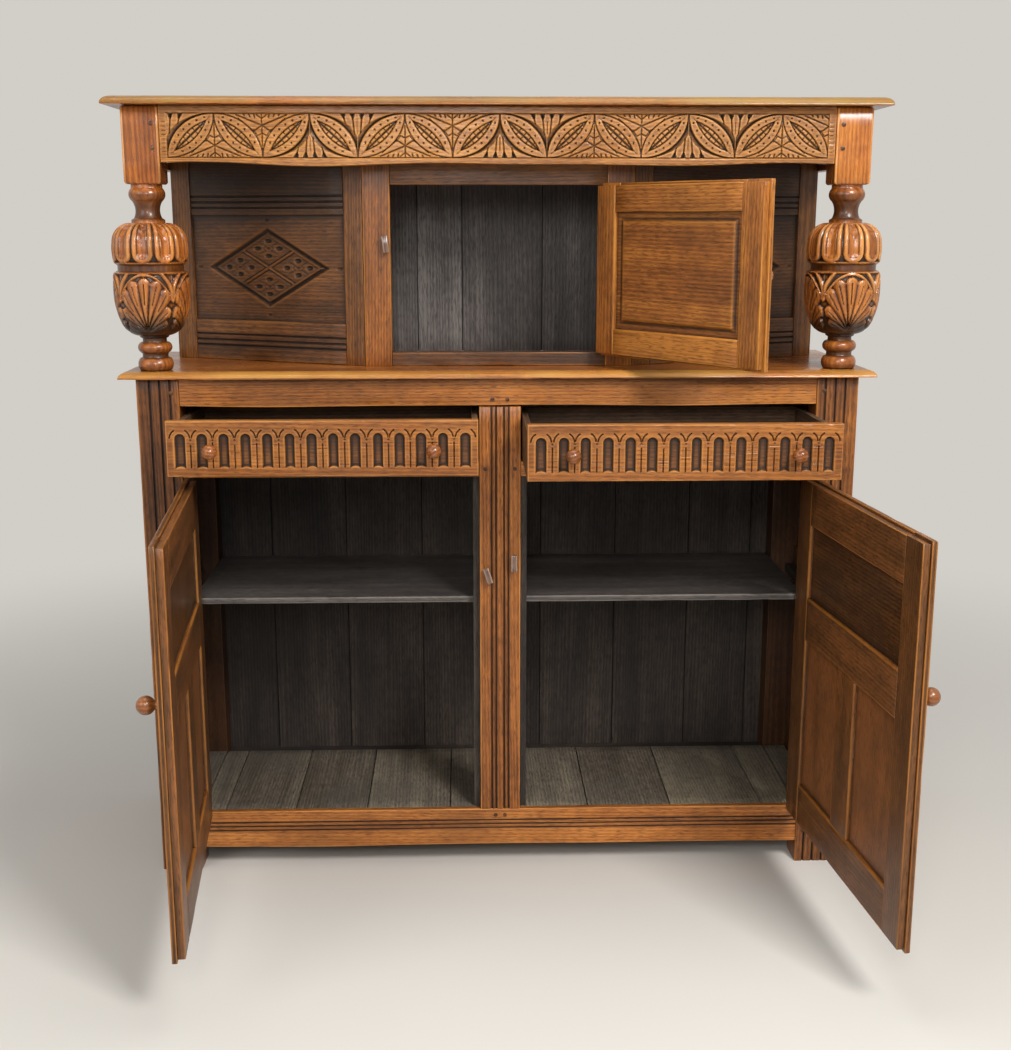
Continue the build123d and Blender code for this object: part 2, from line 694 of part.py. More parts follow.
with BuildPart(cant_plane) as cant_rails:
    for levels in (cant_bottom_z, cant_top_z):
        local_slab((cant_stile_width + seam, cant_reach - seam), (-cant_thick, -rail_set), levels)
        local_slab((cant_stile_width - cant_tenon_length + seam, cant_reach + cant_tenon_length - seam),
                   cant_tenon_y, tongue_z(levels))
    local_slab((cant_stile_width - 1, cant_reach + 1), cant_groove_y,
               (cant_bottom_z[1] - panel_groove, cant_top_z[0] + panel_groove), Mode.SUBTRACT)
    for middle in (cant_bottom_z[1] - cant_reed_below, cant_top_z[0] + cant_reed_above):
        for step in (-1, 0, 1):
            groove_z = middle + step * cant_reed_step
            local_slab((cant_stile_width, cant_reach), (-rail_set - groove_depth, 1),
                       (groove_z - groove_width / 2, groove_z + groove_width / 2), Mode.SUBTRACT)
save_both(cant_rails, "cant_rails")

with BuildPart(cant_plane) as cant_panel:
    local_slab((cant_stile_width - panel_groove + 1, cant_reach + panel_groove - 1),
               (cant_groove_y[0] + 2 * seam, cant_groove_y[1] - 2 * seam),
               (cant_bottom_z[1] - panel_groove + 1, cant_top_z[0] + panel_groove - 1))
save_both(cant_panel, "cant_panels")

# Rear posts of the upper stage, five-sided, their front face in line with the canted sides
inner_u = outer_u - rear_post_width
face_end = (outer_u - cant_post_face * cos(cant_angle), cant_outer_set - cant_post_face * sin(cant_angle))
notch_back = face_end[1] + (face_end[0] - inner_u) * cos(cant_angle) / sin(cant_angle)
with BuildPart() as upper_rear_block:
    with BuildSketch(Plane((mid_x, front_y, top_level))):
        with BuildLine():
            Polyline((-outer_u, cant_outer_set), (-face_end[0], face_end[1]), (-inner_u, notch_back),
                     (-inner_u, back_face), (-outer_u, back_face), (-outer_u, cant_outer_set))
        make_face()
    extrude(amount=canopy_under - top_level)
with BuildPart(cant_plane) as rear_block_cuts:
    for levels in (cant_bottom_z, cant_top_z):
        local_slab((cant_reach - 1, cant_reach + cant_tenon_length + seam),
                   (cant_tenon_y[0] - seam, cant_tenon_y[1] + seam),
                   (tongue_z(levels)[0] - seam, tongue_z(levels)[1] + seam))
    local_slab((cant_reach - 1, cant_reach + panel_groove), cant_groove_y,
               (cant_bottom_z[1] - panel_groove, cant_top_z[0] + panel_groove))
with BuildPart() as upper_rear_post:
    add(upper_rear_block.part)
    add(rear_block_cuts.part, mode=Mode.SUBTRACT)
save_pair(upper_rear_post, ("upper_rear", "post"))

# Upper back boards, nailed to the rear posts between the side friezes
upper_back_count = 9
upper_back_edge = outer_u - seam
with BuildPart() as upper_back_boards:
    upper_seams = [2 * upper_back_edge * i / upper_back_count for i in range(upper_back_count + 1)]
    board_row([across_back - upper_back_edge for across_back in upper_seams],
              (back_face, back_face + board_thick), (top_level, canopy_under))
save(upper_back_boards, "upper_back_boards")

# Doors.  Each leaf is set out from its hinge axis: x runs to the free edge, z up from the floor and
# y across the thickness; inward is +1 or -1, the sense of y that points into the cupboard when closed.
axis_forward = lip_proud + lip_gap + barrel_radius + barrel_gap
axis_side = hinge_leaf_thick + hinge_leaf_gap / 2
leaf_face = axis_forward - lip_proud - lip_gap
leaf_back = leaf_face + leaf_thick
lip_back = leaf_face + lip_proud
leaf_edge = axis_side + seam


def leaf_place(axis_u, axis_v, angle, heading):
    """The plane of a leaf: origin on the hinge axis, x towards the free edge when turned by angle."""
    bearing = radians(heading + angle)
    along = (cos(bearing), sin(bearing), 0)
    return Plane((mid_x + axis_u, front_y + axis_v, 0), x_dir=along, z_dir=(0, 0, 1))


leaf_middle = (leaf_face + leaf_back) / 2
leaf_lap = lip_lap + leaf_gap


def across(inward, low, high):
    """A range across the thickness of a leaf, turned to the hand of the door."""
    return inward * low, inward * high


def leaf_stiles(place, inward, span, z, stile, rails, handle):
    """The hinge stile and the free stile, mortised for the rails and grooved for the panels.

    span is the closed width from axis to the far side of the body, rails are (low, high) levels
    and handle is the (x, z, radius) of the knob let into the free stile.
    """
    inner = (leaf_edge + stile, span - stile)
    tongue_y = across(inward, leaf_middle - leaf_tenon / 2, leaf_middle + leaf_tenon / 2)
    slot_half = door_panel_thick / 2 + seam
    slot_y = across(inward, leaf_middle - slot_half, leaf_middle + slot_half)
    lip_z = (z[0] - leaf_lap, z[1] + leaf_lap)
    with BuildPart(place) as stiles:
        local_slab((leaf_edge, inner[0] - seam), across(inward, leaf_face, leaf_back), z)
        local_slab((leaf_edge, inner[0] - seam), across(inward, leaf_face, lip_back), lip_z)
        local_slab((inner[1] + seam, span), across(inward, leaf_face, leaf_back), z)
        local_slab((inner[1] + seam, span + leaf_lap), across(inward, leaf_face, lip_back), lip_z)
        for low, high in rails:
            local_pocket((inner[0] - leaf_tenon_length, inner[0]), tongue_y, tongue_z((low, high)))
            local_pocket((inner[1], inner[1] + leaf_tenon_length), tongue_y, tongue_z((low, high)))
        for (_, low), (high, _) in zip(rails, rails[1:]):
            local_slab((inner[0] - panel_groove, inner[1] + panel_groove), slot_y,
                       (low - panel_groove, high + panel_groove), Mode.SUBTRACT)
        with Locations((handle[0], inward * (leaf_face + knob_spigot / 2), handle[1])):
            Cylinder(handle[2] * knob_neck + peg_gap, knob_spigot + 2 * peg_gap, rotation=(90, 0, 0),
                     mode=Mode.SUBTRACT)
    return stiles


def leaf_crosspiece(place, inward, span, stile, levels, lower_edge, upper_edge):
    """One rail of a leaf; each edge is "lip" at the outside of the leaf or "groove" next to a panel."""
    inner = (leaf_edge + stile, span - stile)
    low, high = levels
    slot_half = door_panel_thick / 2 + seam
    slot_y = across(inward, leaf_middle - slot_half, leaf_middle + slot_half)
    foot = low - leaf_lap if lower_edge == "lip" else low
    head = high + leaf_lap if upper_edge == "lip" else high
    with BuildPart(place) as rail:
        local_slab(inner, across(inward, leaf_face, leaf_back), levels)
        local_slab(inner, across(inward, leaf_face, lip_back), (foot, head))
        local_slab((inner[0] - leaf_tenon_length, inner[1] + leaf_tenon_length),
                   across(inward, leaf_middle - leaf_tenon / 2, leaf_middle + leaf_tenon / 2),
                   tongue_z(levels))
        if lower_edge == "groove":
            local_slab(inner, slot_y, (low, low + panel_groove), Mode.SUBTRACT)
        if upper_edge == "groove":
            local_slab(inner, slot_y, (high - panel_groove, high), Mode.SUBTRACT)
    return rail


def leaf_upright(place, inward, x, z):
    """The muntin between two panels, tongued into the rails above and below."""
    half = door_panel_thick / 2
    with BuildPart(place) as upright:
        local_slab(x, across(inward, leaf_face, leaf_back), (z[0] + seam, z[1] - seam))
        local_slab(x, across(inward, leaf_middle - half, leaf_middle + half),
                   (z[0] - panel_groove + seam, z[1] + panel_groove - seam))
        for side in ((x[0], x[0] + panel_groove), (x[1] - panel_groove, x[1])):
            local_slab(side, across(inward, leaf_middle - half - seam, leaf_middle + half + seam),
                       (z[0] - panel_groove, z[1] + panel_groove), Mode.SUBTRACT)
    return upright


def leaf_panel(place, inward, x, z, fielded):
    """A panel that fills an opening x by z of the frame, with a raised field inside if fielded."""
    half = door_panel_thick / 2
    reach = panel_groove - panel_play
    with BuildPart(place) as panel:
        local_slab((x[0] - reach, x[1] + reach), across(inward, leaf_middle - half, leaf_middle + half),
                   (z[0] - reach, z[1] + reach))
        if fielded:
            local_slab((x[0] + field_margin, x[1] - field_margin),
                       across(inward, leaf_middle, leaf_middle + half + field_rise),
                       (z[0] + field_margin, z[1] - field_margin))
    return panel


def together(pieces):
    """Several separate pieces as one group."""
    with BuildPart() as group:
        for piece in pieces:
            add(piece.part)
    return group


def knob(place, inward, x, z, radius, face):
    """A turned knob on the outer face, with its spigot let into the wood."""
    centre = place.from_local_coords((x, inward * face, z))
    along = place.from_local_coords((x, inward * face - inward, z)) - centre
    neck = radius * knob_neck
    flange = radius * 0.62
    waist = radius * 0.42
    collar = radius * 0.6
    shoulder = radius * 0.72
    widest = knob_stem + radius * 0.75
    rounding = knob_stem + radius * 1.45
    crown = knob_stem + radius * 1.75
    with BuildPart() as turned:
        with BuildSketch(Plane(centre, x_dir=(0, 0, 1), z_dir=Vector(0, 0, 1).cross(along))):
            with BuildLine():
                Polyline((0, -knob_spigot), (neck, -knob_spigot), (neck, 0), (flange, 0),
                         (flange, knob_flange_thick), (waist, 2 * knob_flange_thick),
                         (waist, knob_stem - knob_ring), (collar, knob_stem))
                Spline((collar, knob_stem), (radius, widest), (shoulder, rounding), (0, crown),
                       tangents=((1, 0.4), (-1, 0)))
                Line((0, crown), (0, -knob_spigot))
            make_face()
        revolve(axis=Axis(centre, along))
    return turned


def hinge_fixed_half(closed_place, inward, levels):
    """The halves of the butt hinges let in beside the post or stile, with two knuckles and the pin."""
    third = (hinge_length - 2 * knuckle_gap) / 3
    with BuildPart(closed_place) as fixed:
        for level in levels:
            low, high = level - hinge_length / 2, level + hinge_length / 2
            plate_x = (-axis_side, -axis_side + hinge_leaf_thick)
            local_slab(plate_x, across(inward, hinge_plate_start, leaf_back), (low, high))
            for knuckle in ((low, low + third), (high - third, high)):
                local_slab(plate_x, across(inward, 0, hinge_plate_start), knuckle)
                with Locations((0, 0, knuckle[0])):
                    Cylinder(barrel_radius, third, align=from_face)
            with Locations((0, 0, level)):
                Cylinder(hinge_pin_radius, hinge_length)
    return fixed


def hinge_moving_half(place, inward, levels):
    """The halves of the butt hinges on the edge of the leaf, each with the middle knuckle."""
    third = (hinge_length - 2 * knuckle_gap) / 3
    with BuildPart(place) as moving:
        for level in levels:
            plate_x = (axis_side - hinge_leaf_thick, axis_side)
            local_slab(plate_x, across(inward, hinge_plate_start, leaf_back),
                       (level - hinge_length / 2, level + hinge_length / 2))
            local_slab(plate_x, across(inward, 0, hinge_plate_start),
                       (level - third / 2, level + third / 2))
            with Locations((0, 0, level)):
                Cylinder(barrel_radius, third)
                Cylinder(hinge_pin_radius + hinge_pin_gap, third, mode=Mode.SUBTRACT)
    return moving


axis_edge = bay_edge - axis_side
leaf_z = (floor_level + leaf_gap, drawer_rail_under - leaf_gap)
lower_span = axis_edge - stile_half - leaf_gap
top_panel_foot = leaf_z[1] - leaf_rail - leaf_upper_panel
lower_rails = (
    (leaf_z[0], leaf_z[0] + leaf_rail),
    (top_panel_foot - leaf_mid_rail, top_panel_foot),
    (leaf_z[1] - leaf_rail, leaf_z[1]),
)
hinge_levels = (leaf_z[0] + hinge_inset, leaf_z[1] - hinge_inset)
lower_handle = (lower_span - door_knob_inset, leaf_z[1] - door_knob_drop, door_knob_radius)
panel_middle = (leaf_edge + lower_span) / 2
muntin_x = (panel_middle - leaf_muntin / 2, panel_middle + leaf_muntin / 2)
panel_edge = (leaf_edge + leaf_stile, lower_span - leaf_stile)
lower_panel_z = (lower_rails[0][1], lower_rails[1][0])
top_panel_z = (lower_rails[1][1], lower_rails[2][0])
lower_doors = {
    "left": (-axis_edge, 0, -left_door_angle, 1),
    "right": (axis_edge, 180, right_door_angle, -1),
}
fixed_halves = []
for hand, (axis_u, heading, opened, inward) in lower_doors.items():
    place = leaf_place(axis_u, -axis_forward, opened, heading)
    closed_place = leaf_place(axis_u, -axis_forward, 0, heading)
    members = [
        leaf_stiles(place, inward, lower_span, leaf_z, leaf_stile, lower_rails, lower_handle),
        leaf_crosspiece(place, inward, lower_span, leaf_stile, lower_rails[0], "lip", "groove"),
        leaf_crosspiece(place, inward, lower_span, leaf_stile, lower_rails[1], "groove", "groove"),
        leaf_crosspiece(place, inward, lower_span, leaf_stile, lower_rails[2], "groove", "lip"),
        leaf_upright(place, inward, muntin_x, lower_panel_z),
    ]
    panels = [
        leaf_panel(place, inward, panel_edge, top_panel_z, False),
        leaf_panel(place, inward, (panel_edge[0], muntin_x[0]), lower_panel_z, False),
        leaf_panel(place, inward, (muntin_x[1], panel_edge[1]), lower_panel_z, False),
    ]
    save(together(members), f"{hand}_door_frame")
    save(together(panels), f"{hand}_door_panels")
    save(knob(place, inward, *lower_handle, leaf_face), f"{hand}_door_knob")
    save(hinge_moving_half(place, inward, hinge_levels), f"{hand}_door_hinges")
    fixed_halves.append(hinge_fixed_half(closed_place, inward, hinge_levels))

# Upper door, hung on the right stile
upper_axis_u = half_upper - axis_side
upper_leaf_z = (upper_sill_level + leaf_gap, upper_head - leaf_gap)
upper_span = upper_axis_u + half_upper - leaf_gap
upper_rails = (
    (upper_leaf_z[0], upper_leaf_z[0] + upper_leaf_rail),
    (upper_leaf_z[1] - upper_leaf_rail, upper_leaf_z[1]),
)
upper_handle = (upper_span - upper_knob_inset, sum(upper_leaf_z) / 2, drawer_knob_radius)
upper_levels = (upper_leaf_z[0] + upper_hinge_inset, upper_leaf_z[1] - upper_hinge_inset)
upper_place = leaf_place(upper_axis_u, cupboard_set - axis_forward, upper_door_angle, 180)
upper_closed = leaf_place(upper_axis_u, cupboard_set - axis_forward, 0, 180)
upper_members = [
    leaf_stiles(upper_place, -1, upper_span, upper_leaf_z, upper_leaf_stile, upper_rails,
                upper_handle),
    leaf_crosspiece(upper_place, -1, upper_span, upper_leaf_stile, upper_rails[0], "lip", "groove"),
    leaf_crosspiece(upper_place, -1, upper_span, upper_leaf_stile, upper_rails[1], "groove", "lip"),
]
save(together(upper_members), "upper_door_frame")
save(leaf_panel(upper_place, -1, (leaf_edge + upper_leaf_stile, upper_span - upper_leaf_stile),
                (upper_rails[0][1], upper_rails[1][0]), True), "upper_door_panel")
save(knob(upper_place, -1, *upper_handle, leaf_face), "upper_door_knob")
save(hinge_moving_half(upper_place, -1, upper_levels), "upper_door_hinges")
fixed_halves.append(hinge_fixed_half(upper_closed, -1, upper_levels))
save(together(fixed_halves), "fixed_hinge_halves")

# Drawers: an applied front, two sides, a back and a bottom, drawn forward by out
drawer_u = (stile_half + drawer_gap, bay_edge - drawer_gap)
drawer_low = drawer_floor + drawer_lift
drawer_back = drawer_face + drawer_length
for hand, side, out in (("left", -1, left_drawer_out), ("right", 1, right_drawer_out)):
    ends = sorted((side * drawer_u[0], side * drawer_u[1]))
    side_v = (drawer_face + drawer_front_thick - out, drawer_back - drawer_side_thick - seam - out)
    side_z = (drawer_low, drawer_low + drawer_side_height)
    bottom_z = (drawer_low + drawer_bottom_rise, drawer_low + drawer_bottom_rise + drawer_bottom_thick)
    knob_places = (ends[0] + drawer_knob_inset, ends[1] - drawer_knob_inset)
    with BuildPart() as front:
        slab(ends, (drawer_face - out, drawer_face + drawer_front_thick - out),
             (drawer_low, drawer_low + drawer_front_height))
        for u in knob_places:
            socket_y = front_y + drawer_face - out + knob_spigot / 2
            with Locations((mid_x + u, socket_y, drawer_low + drawer_knob_level)):
                Cylinder(drawer_knob_radius * knob_neck + peg_gap, knob_spigot + 2 * peg_gap,
                         rotation=(90, 0, 0), mode=Mode.SUBTRACT)
    save(front, f"{hand}_drawer_front")
    with BuildPart() as box:
        slab((ends[0], ends[0] + drawer_side_thick), side_v, side_z)
        slab((ends[1] - drawer_side_thick, ends[1]), side_v, side_z)
        slab(ends, (drawer_back - drawer_side_thick - out, drawer_back - out), side_z)
        slab((ends[0] + drawer_side_thick + seam, ends[1] - drawer_side_thick - seam), side_v, bottom_z)
    save(box, f"{hand}_drawer_box")
    front_plane = Plane((mid_x, front_y - out, drawer_low))
    handles = [
        knob(front_plane, 1, u, drawer_knob_level, drawer_knob_radius, drawer_face) for u in knob_places
    ]
    save(together(handles), f"{hand}_drawer_knobs")

# Turn-buttons on pins in the stiles; the boss holds the bar just clear of a closed door's lip
buttons = {
    "left_button": (-button_offset, 0, left_button_level, button_tilts[0]),
    "right_button": (button_offset, 0, right_button_level, button_tilts[1]),
    "upper_button": (-half_upper - upper_button_inset, cupboard_set, upper_button_level, button_tilts[2]),
}
boss_reach = lip_proud + lip_gap + button_clear
for label, (button_u, button_v, level, tilt) in buttons.items():
    button_place = Plane((mid_x + button_u, front_y + button_v, level), x_dir=(1, 0, 0), z_dir=(0, -1, 0))
    with BuildPart(button_place) as button:
        Cylinder(button_boss_radius, boss_reach, align=from_face)
        with Locations((0, 0, -button_pin_length)):
            Cylinder(button_pin_radius, button_pin_length + 1, align=from_face)
        with Locations(Location((0, 0, boss_reach), (0, 0, tilt))):
            with Locations((0, button_width / 2 - button_length / 2, 0)):
                Box(button_width, button_length, button_thick, align=from_face)
    save(button, label)
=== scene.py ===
import itertools
import json
import math

import bpy
import numpy as np
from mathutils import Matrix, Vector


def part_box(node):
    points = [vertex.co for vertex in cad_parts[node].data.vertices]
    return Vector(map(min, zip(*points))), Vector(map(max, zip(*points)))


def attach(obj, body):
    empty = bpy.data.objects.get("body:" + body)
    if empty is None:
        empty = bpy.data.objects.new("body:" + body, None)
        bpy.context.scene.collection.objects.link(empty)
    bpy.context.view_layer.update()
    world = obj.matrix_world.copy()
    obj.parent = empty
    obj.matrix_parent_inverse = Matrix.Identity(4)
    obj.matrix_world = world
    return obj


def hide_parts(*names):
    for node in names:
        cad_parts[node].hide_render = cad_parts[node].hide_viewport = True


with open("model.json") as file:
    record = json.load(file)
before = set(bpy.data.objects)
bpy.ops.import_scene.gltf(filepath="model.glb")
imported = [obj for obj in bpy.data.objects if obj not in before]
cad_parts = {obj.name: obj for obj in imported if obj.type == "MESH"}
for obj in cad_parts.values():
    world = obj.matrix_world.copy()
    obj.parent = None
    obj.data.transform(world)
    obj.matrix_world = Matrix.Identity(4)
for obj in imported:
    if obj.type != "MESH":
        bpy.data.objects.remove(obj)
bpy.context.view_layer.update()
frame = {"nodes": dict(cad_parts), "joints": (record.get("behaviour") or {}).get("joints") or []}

print("frame loaded,", len(frame["nodes"]), "nodes")

# Everything below is worked out in millimetres in the frame of the CAD part and turned to metres
# when a mesh is made. x runs along the front, y to the back, z up.
xAxis, yAxis, zAxis = np.eye(3)
nextSeed = itertools.count(1)
hair = 0.1  # boards are drawn in this much all round, to stay inside their CAD nodes
sharpAngle = 38  # faces that meet at more than this many degrees are shaded apart


def span(nodeName):
    # lowest and highest corner of a CAD node, in millimetres
    low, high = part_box(nodeName)
    return np.array(low) * 1000, np.array(high) * 1000


def smooth(value, low, high):
    # 0 below low, 1 above high and a level-ended curve 3t^2 - 2t^3 between
    t = np.clip((value - low) / (high - low), 0, 1)
    return t * t * (3 - 2 * t)


def plateau(value, start, full, fade, gone):
    # 0 outside start and gone, 1 between full and fade, and a smooth step on each side
    return smooth(value, start, full) * (1 - smooth(value, fade, gone))


def dome(value):
    # the height of a half circle: the square root of 1 - value^2, and 0 past 1
    return np.sqrt(np.clip(1 - value**2, 0, 1))


def toNearest(value, pitch):
    # how far a value is past the nearest multiple of the pitch
    return value - pitch * np.round(value / pitch)


def slowWaves(points, wavelength, seed):
    # five sine waves in seeded directions added up: a slow smooth value from about -1 to 1
    rng = np.random.default_rng(seed)
    total = np.zeros(points.shape[:-1])
    for _ in range(5):
        direction = rng.normal(size=points.shape[-1])
        direction *= 2 * np.pi / wavelength * rng.uniform(0.7, 1.4) / np.linalg.norm(direction)
        total += np.sin(points @ direction + rng.uniform(0, 2 * np.pi))
    return total / 2.5


def soften(field, reach, wraps=False):
    # the mean over a square window of 2 reach + 1 cells, as differences of running sums
    width = 2 * reach + 1
    for axis, mode in ((0, "wrap" if wraps else "edge"), (1, "edge")):
        padded = np.pad(np.moveaxis(field, axis, 0), ((reach + 1, reach), (0, 0)), mode=mode)
        sums = np.cumsum(padded, 0)
        field = np.moveaxis((sums[width:] - sums[:-width]) / width, 0, axis)
    return field


def gridQuads(rows, columns, closedRows=False, closedColumns=False):
    # the four-sided faces between neighbouring points of a grid numbered row by row
    i, j = np.meshgrid(
        np.arange(rows if closedRows else rows - 1),
        np.arange(columns if closedColumns else columns - 1),
        indexing="ij",
    )
    right, below = (j + 1) % columns, (i + 1) % rows
    quads = [i * columns + j, i * columns + right, below * columns + right, below * columns + j]
    return np.stack(quads, -1).reshape(-1, 4)


def makePart(points, quads, caps, grain, wear, hollow, tone):
    # one closed shell: its points, faces and what the materials read at each point
    loops = np.concatenate([quads.ravel(), *[np.asarray(c).ravel() for c in caps]]).astype(np.int64)
    sizes = np.concatenate([np.full(len(quads), 4), [len(c) for c in caps]]).astype(np.int64)
    starts = np.concatenate([[0], np.cumsum(sizes)[:-1]])
    # volume as the sum over faces of a corner dotted with half the summed cross products of its edges
    following = np.arange(len(loops)) + 1
    following[starts + sizes - 1] = starts
    crosses = np.cross(points[loops], points[loops[following]])
    volume = np.sum(points[loops[starts]] * np.add.reduceat(crosses, starts, axis=0))
    if volume < 0:
        loops, sizes = loops[::-1], sizes[::-1]
    count = len(points)
    finish = np.stack([np.broadcast_to(v, count) for v in (wear, hollow, tone)], -1)
    return {"points": points, "loops": loops, "sizes": sizes, "grain": grain, "finish": finish.copy()}


def placed(name, data, location=(0, 0, 0)):
    # an object made of some data and linked to the scene
    made = bpy.data.objects.new(name, data)
    made.location = location
    bpy.context.scene.collection.objects.link(made)
    return made


def makePiece(name, parts, finish, node, body="carcase"):
    # joins parts into one mesh object that stands for a CAD node; each part's point numbers go up by
    # the count of points before it
    points = np.concatenate([p["points"] for p in parts]) * 0.001
    offsets = np.cumsum([0] + [len(p["points"]) for p in parts[:-1]])
    loops = np.concatenate([p["loops"] + o for p, o in zip(parts, offsets)])
    sizes = np.concatenate([p["sizes"] for p in parts])
    mesh = bpy.data.meshes.new(name)
    mesh.vertices.add(len(points))
    mesh.vertices.foreach_set("co", points.astype(np.float32).ravel())
    mesh.loops.add(len(loops))
    mesh.loops.foreach_set("vertex_index", loops.astype(np.int32))
    mesh.polygons.add(len(sizes))
    starts = np.concatenate([[0], np.cumsum(sizes)[:-1]])
    mesh.polygons.foreach_set("loop_start", starts.astype(np.int32))
    mesh.polygons.foreach_set("use_smooth", np.ones(len(sizes), bool))
    mesh.update(calc_edges=True)
    mesh.validate()
    for key in ("grain", "finish"):
        values = np.concatenate([p[key] for p in parts]).astype(np.float32)
        mesh.attributes.new(key, "FLOAT_VECTOR", "POINT").data.foreach_set("vector", values.ravel())
    mesh.set_sharp_from_angle(angle=math.radians(sharpAngle))
    mesh.materials.append(oaks[finish])
    piece = placed(name, mesh)
    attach(piece, body)
    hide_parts(node)
    print("made", name, len(points), "points")


def grainPlace(local, seed):
    # where a point lay in the tree: its place in the board, moved by a seeded offset and turned
    # a seeded angle about the grain, with the board sawn a degree or two off the grain
    rng = np.random.default_rng(seed)
    turn, slope = rng.uniform(-0.6, 0.6), rng.uniform(-0.02, 0.02)
    along, across, deep = local[:, 0], local[:, 1] + slope * local[:, 0], local[:, 2]
    turned = [
        along,
        across * math.cos(turn) - deep * math.sin(turn),
        across * math.sin(turn) + deep * math.cos(turn),
    ]
    return np.stack(turned, -1) * 0.001 + rng.uniform(-4, 4, 3)


def roundedOutline(corners, spacing=14, shoulder=1.5):
    # a closed outline from corners (across, deep, radius, hollow): each corner is a parabola between
    # the points a radius away on its two sides, and long sides get points at the given spacing. Gives
    # back the places, the wear and the dirt of its points
    count = len(corners)
    rounded = []
    for i, (across, deep, radius, hollow) in enumerate(corners):
        here = np.array([across, deep], float)
        back = np.array(corners[i - 1][:2]) - here
        ahead = np.array(corners[(i + 1) % count][:2]) - here
        backLength, aheadLength = np.linalg.norm(back), np.linalg.norm(ahead)
        reach = min(radius, 0.45 * backLength, 0.45 * aheadLength)
        s = np.linspace(0, 1, 4)[:, None]
        first, last = here + back / backLength * reach, here + ahead / aheadLength * reach
        curve = (1 - s) ** 2 * first + 2 * s * (1 - s) * here + s * s * last
        convex = (-back[0]) * ahead[1] - (-back[1]) * ahead[0] > 0
        rounded.append((curve, 1.0 if convex and radius >= 0.8 else 0.0, hollow))
    outline = []
    for i, (curve, worn, hollow) in enumerate(rounded):
        outline.append(np.column_stack([curve, np.full((len(curve), 2), (worn, hollow))]))
        side = rounded[(i + 1) % count][0][0] - curve[-1]
        length = np.linalg.norm(side)
        if length > 3 * shoulder:
            inner = np.linspace(shoulder, length - shoulder, max(2, int(length / spacing) + 1))
            straight = curve[-1] + side / length * inner[:, None]
            outline.append(np.column_stack([straight, np.zeros((len(inner), 2))]))
    outline = np.concatenate(outline)
    return outline[:, :2], outline[:, 2], outline[:, 3]


boardLook = {
    "edgeRadius": 1.6,  # worn arrises
    "waviness": 0.35,  # hollows left by the hand plane
    "chips": 0.9,  # deepest knocks along an arris
    "stationSpacing": 26,
    "endRadius": 0.8,
    "cavityReach": 2.2,  # how far round a point its surface is averaged to tell hollow from ridge
    "cavityDirt": 0.75,  # dirt for each mm that a point lies under that average
    "edgeWear": 0.9,
    # lengths in mm of the waves of plane marks and of knocks, and what waves knocks stand above
    "boardWaves": (170, 38, 0.25),
    "reliefWaves": (120, 30, 0.3),
    # what is added to a board's seed for its knocks, its low edge and its tone
    "seedSteps": (500, 900, 70),
}


def boardPart(origin, along, across, deep, length, corners, endRound=None, edgeWave=(0, 0), end=None):
    # an outline carried along the grain. Every point moves along the outline's normal by slow waves,
    # and at the arrises by knocks, the square of what stands above a floor in shorter waves; the
    # first and last rings are drawn in to round the ends, and the low edge rises in long waves that
    # fade as (1 - share of the height)^4
    outline, worn, dirtAndShade = roundedOutline(corners)
    seed = next(nextSeed)
    knockSeed, edgeSeed, toneSeed = (seed + step for step in boardLook["seedSteps"])
    dentLength, knockLength, knockFloor = boardLook["boardWaves"]
    end = end or boardLook["endRadius"]
    body = np.linspace(end, length - end, max(3, int(length / boardLook["stationSpacing"])))
    if endRound:
        nearEnd = endRound[0] * np.linspace(0.05, 1.3, 9) ** 1.5
        body = np.unique(np.concatenate([body, end + nearEnd, length - end - nearEnd]))
    stations = np.concatenate([[0, end * 0.3], body, [length - end * 0.3, length]])
    pulled = np.zeros(len(stations))
    pulled[[0, -1]], pulled[[1, -2]] = end, end * 0.4
    low, high = outline.min(0), outline.max(0)
    middle, half = (low + high) / 2, (high - low) / 2
    profile = middle + (outline - middle) * (1 - pulled[:, None, None] / half)
    s = np.broadcast_to(stations[:, None], profile.shape[:2])
    local = np.concatenate([s[..., None], profile], -1)
    ahead, behind = np.roll(outline, -1, 0), np.roll(outline, 1, 0)
    tangent = ahead - behind
    normal = np.stack([tangent[:, 1], -tangent[:, 0]], -1)
    normal /= np.maximum(np.linalg.norm(normal, axis=1), 1e-9)[:, None]
    if np.sum(np.cross(outline, ahead)) < 0:
        normal = -normal
    dents = boardLook["waviness"] * (slowWaves(local, dentLength, seed) - 1) / 2
    knocks = np.maximum(0, slowWaves(local, knockLength, knockSeed) - knockFloor) ** 2
    knocks *= worn * boardLook["chips"]
    local[..., 1:] += normal * (dents - knocks)[..., None]
    waveSize, waveLength = edgeWave
    if waveSize:
        share = 1 - (local[..., 1] - low[0]) / (high[0] - low[0])
        local[..., 1] += waveSize * share**4 * (slowWaves(s[..., None], waveLength, edgeSeed) + 1) / 2
    if endRound:
        # near the two ends the show face falls away along a quarter of an ellipse: drop times
        # 1 - the square root of 1 - (1 - distance / reach)^2
        reach, drop = endRound
        toEnd = np.minimum(np.minimum(s, length - s), reach)
        fall = drop * (1 - np.sqrt(np.clip(1 - (1 - toEnd / reach) ** 2, 0, None)))
        local[..., 2] = np.maximum(local[..., 2], low[1] + fall)
    flat = local.reshape(-1, 3)
    rows, columns = profile.shape[:2]
    caps = [np.arange(columns), np.arange(columns) + (rows - 1) * columns]
    points = origin + flat @ np.stack([along, across, deep])
    tone = np.random.default_rng(toneSeed).uniform(-1, 1)
    quads = gridQuads(rows, columns, closedColumns=True)
    return makePart(points, quads, [caps[0][::-1], caps[1]], grainPlace(flat, seed),
                    np.tile(worn, rows), np.tile(dirtAndShade, rows), tone)


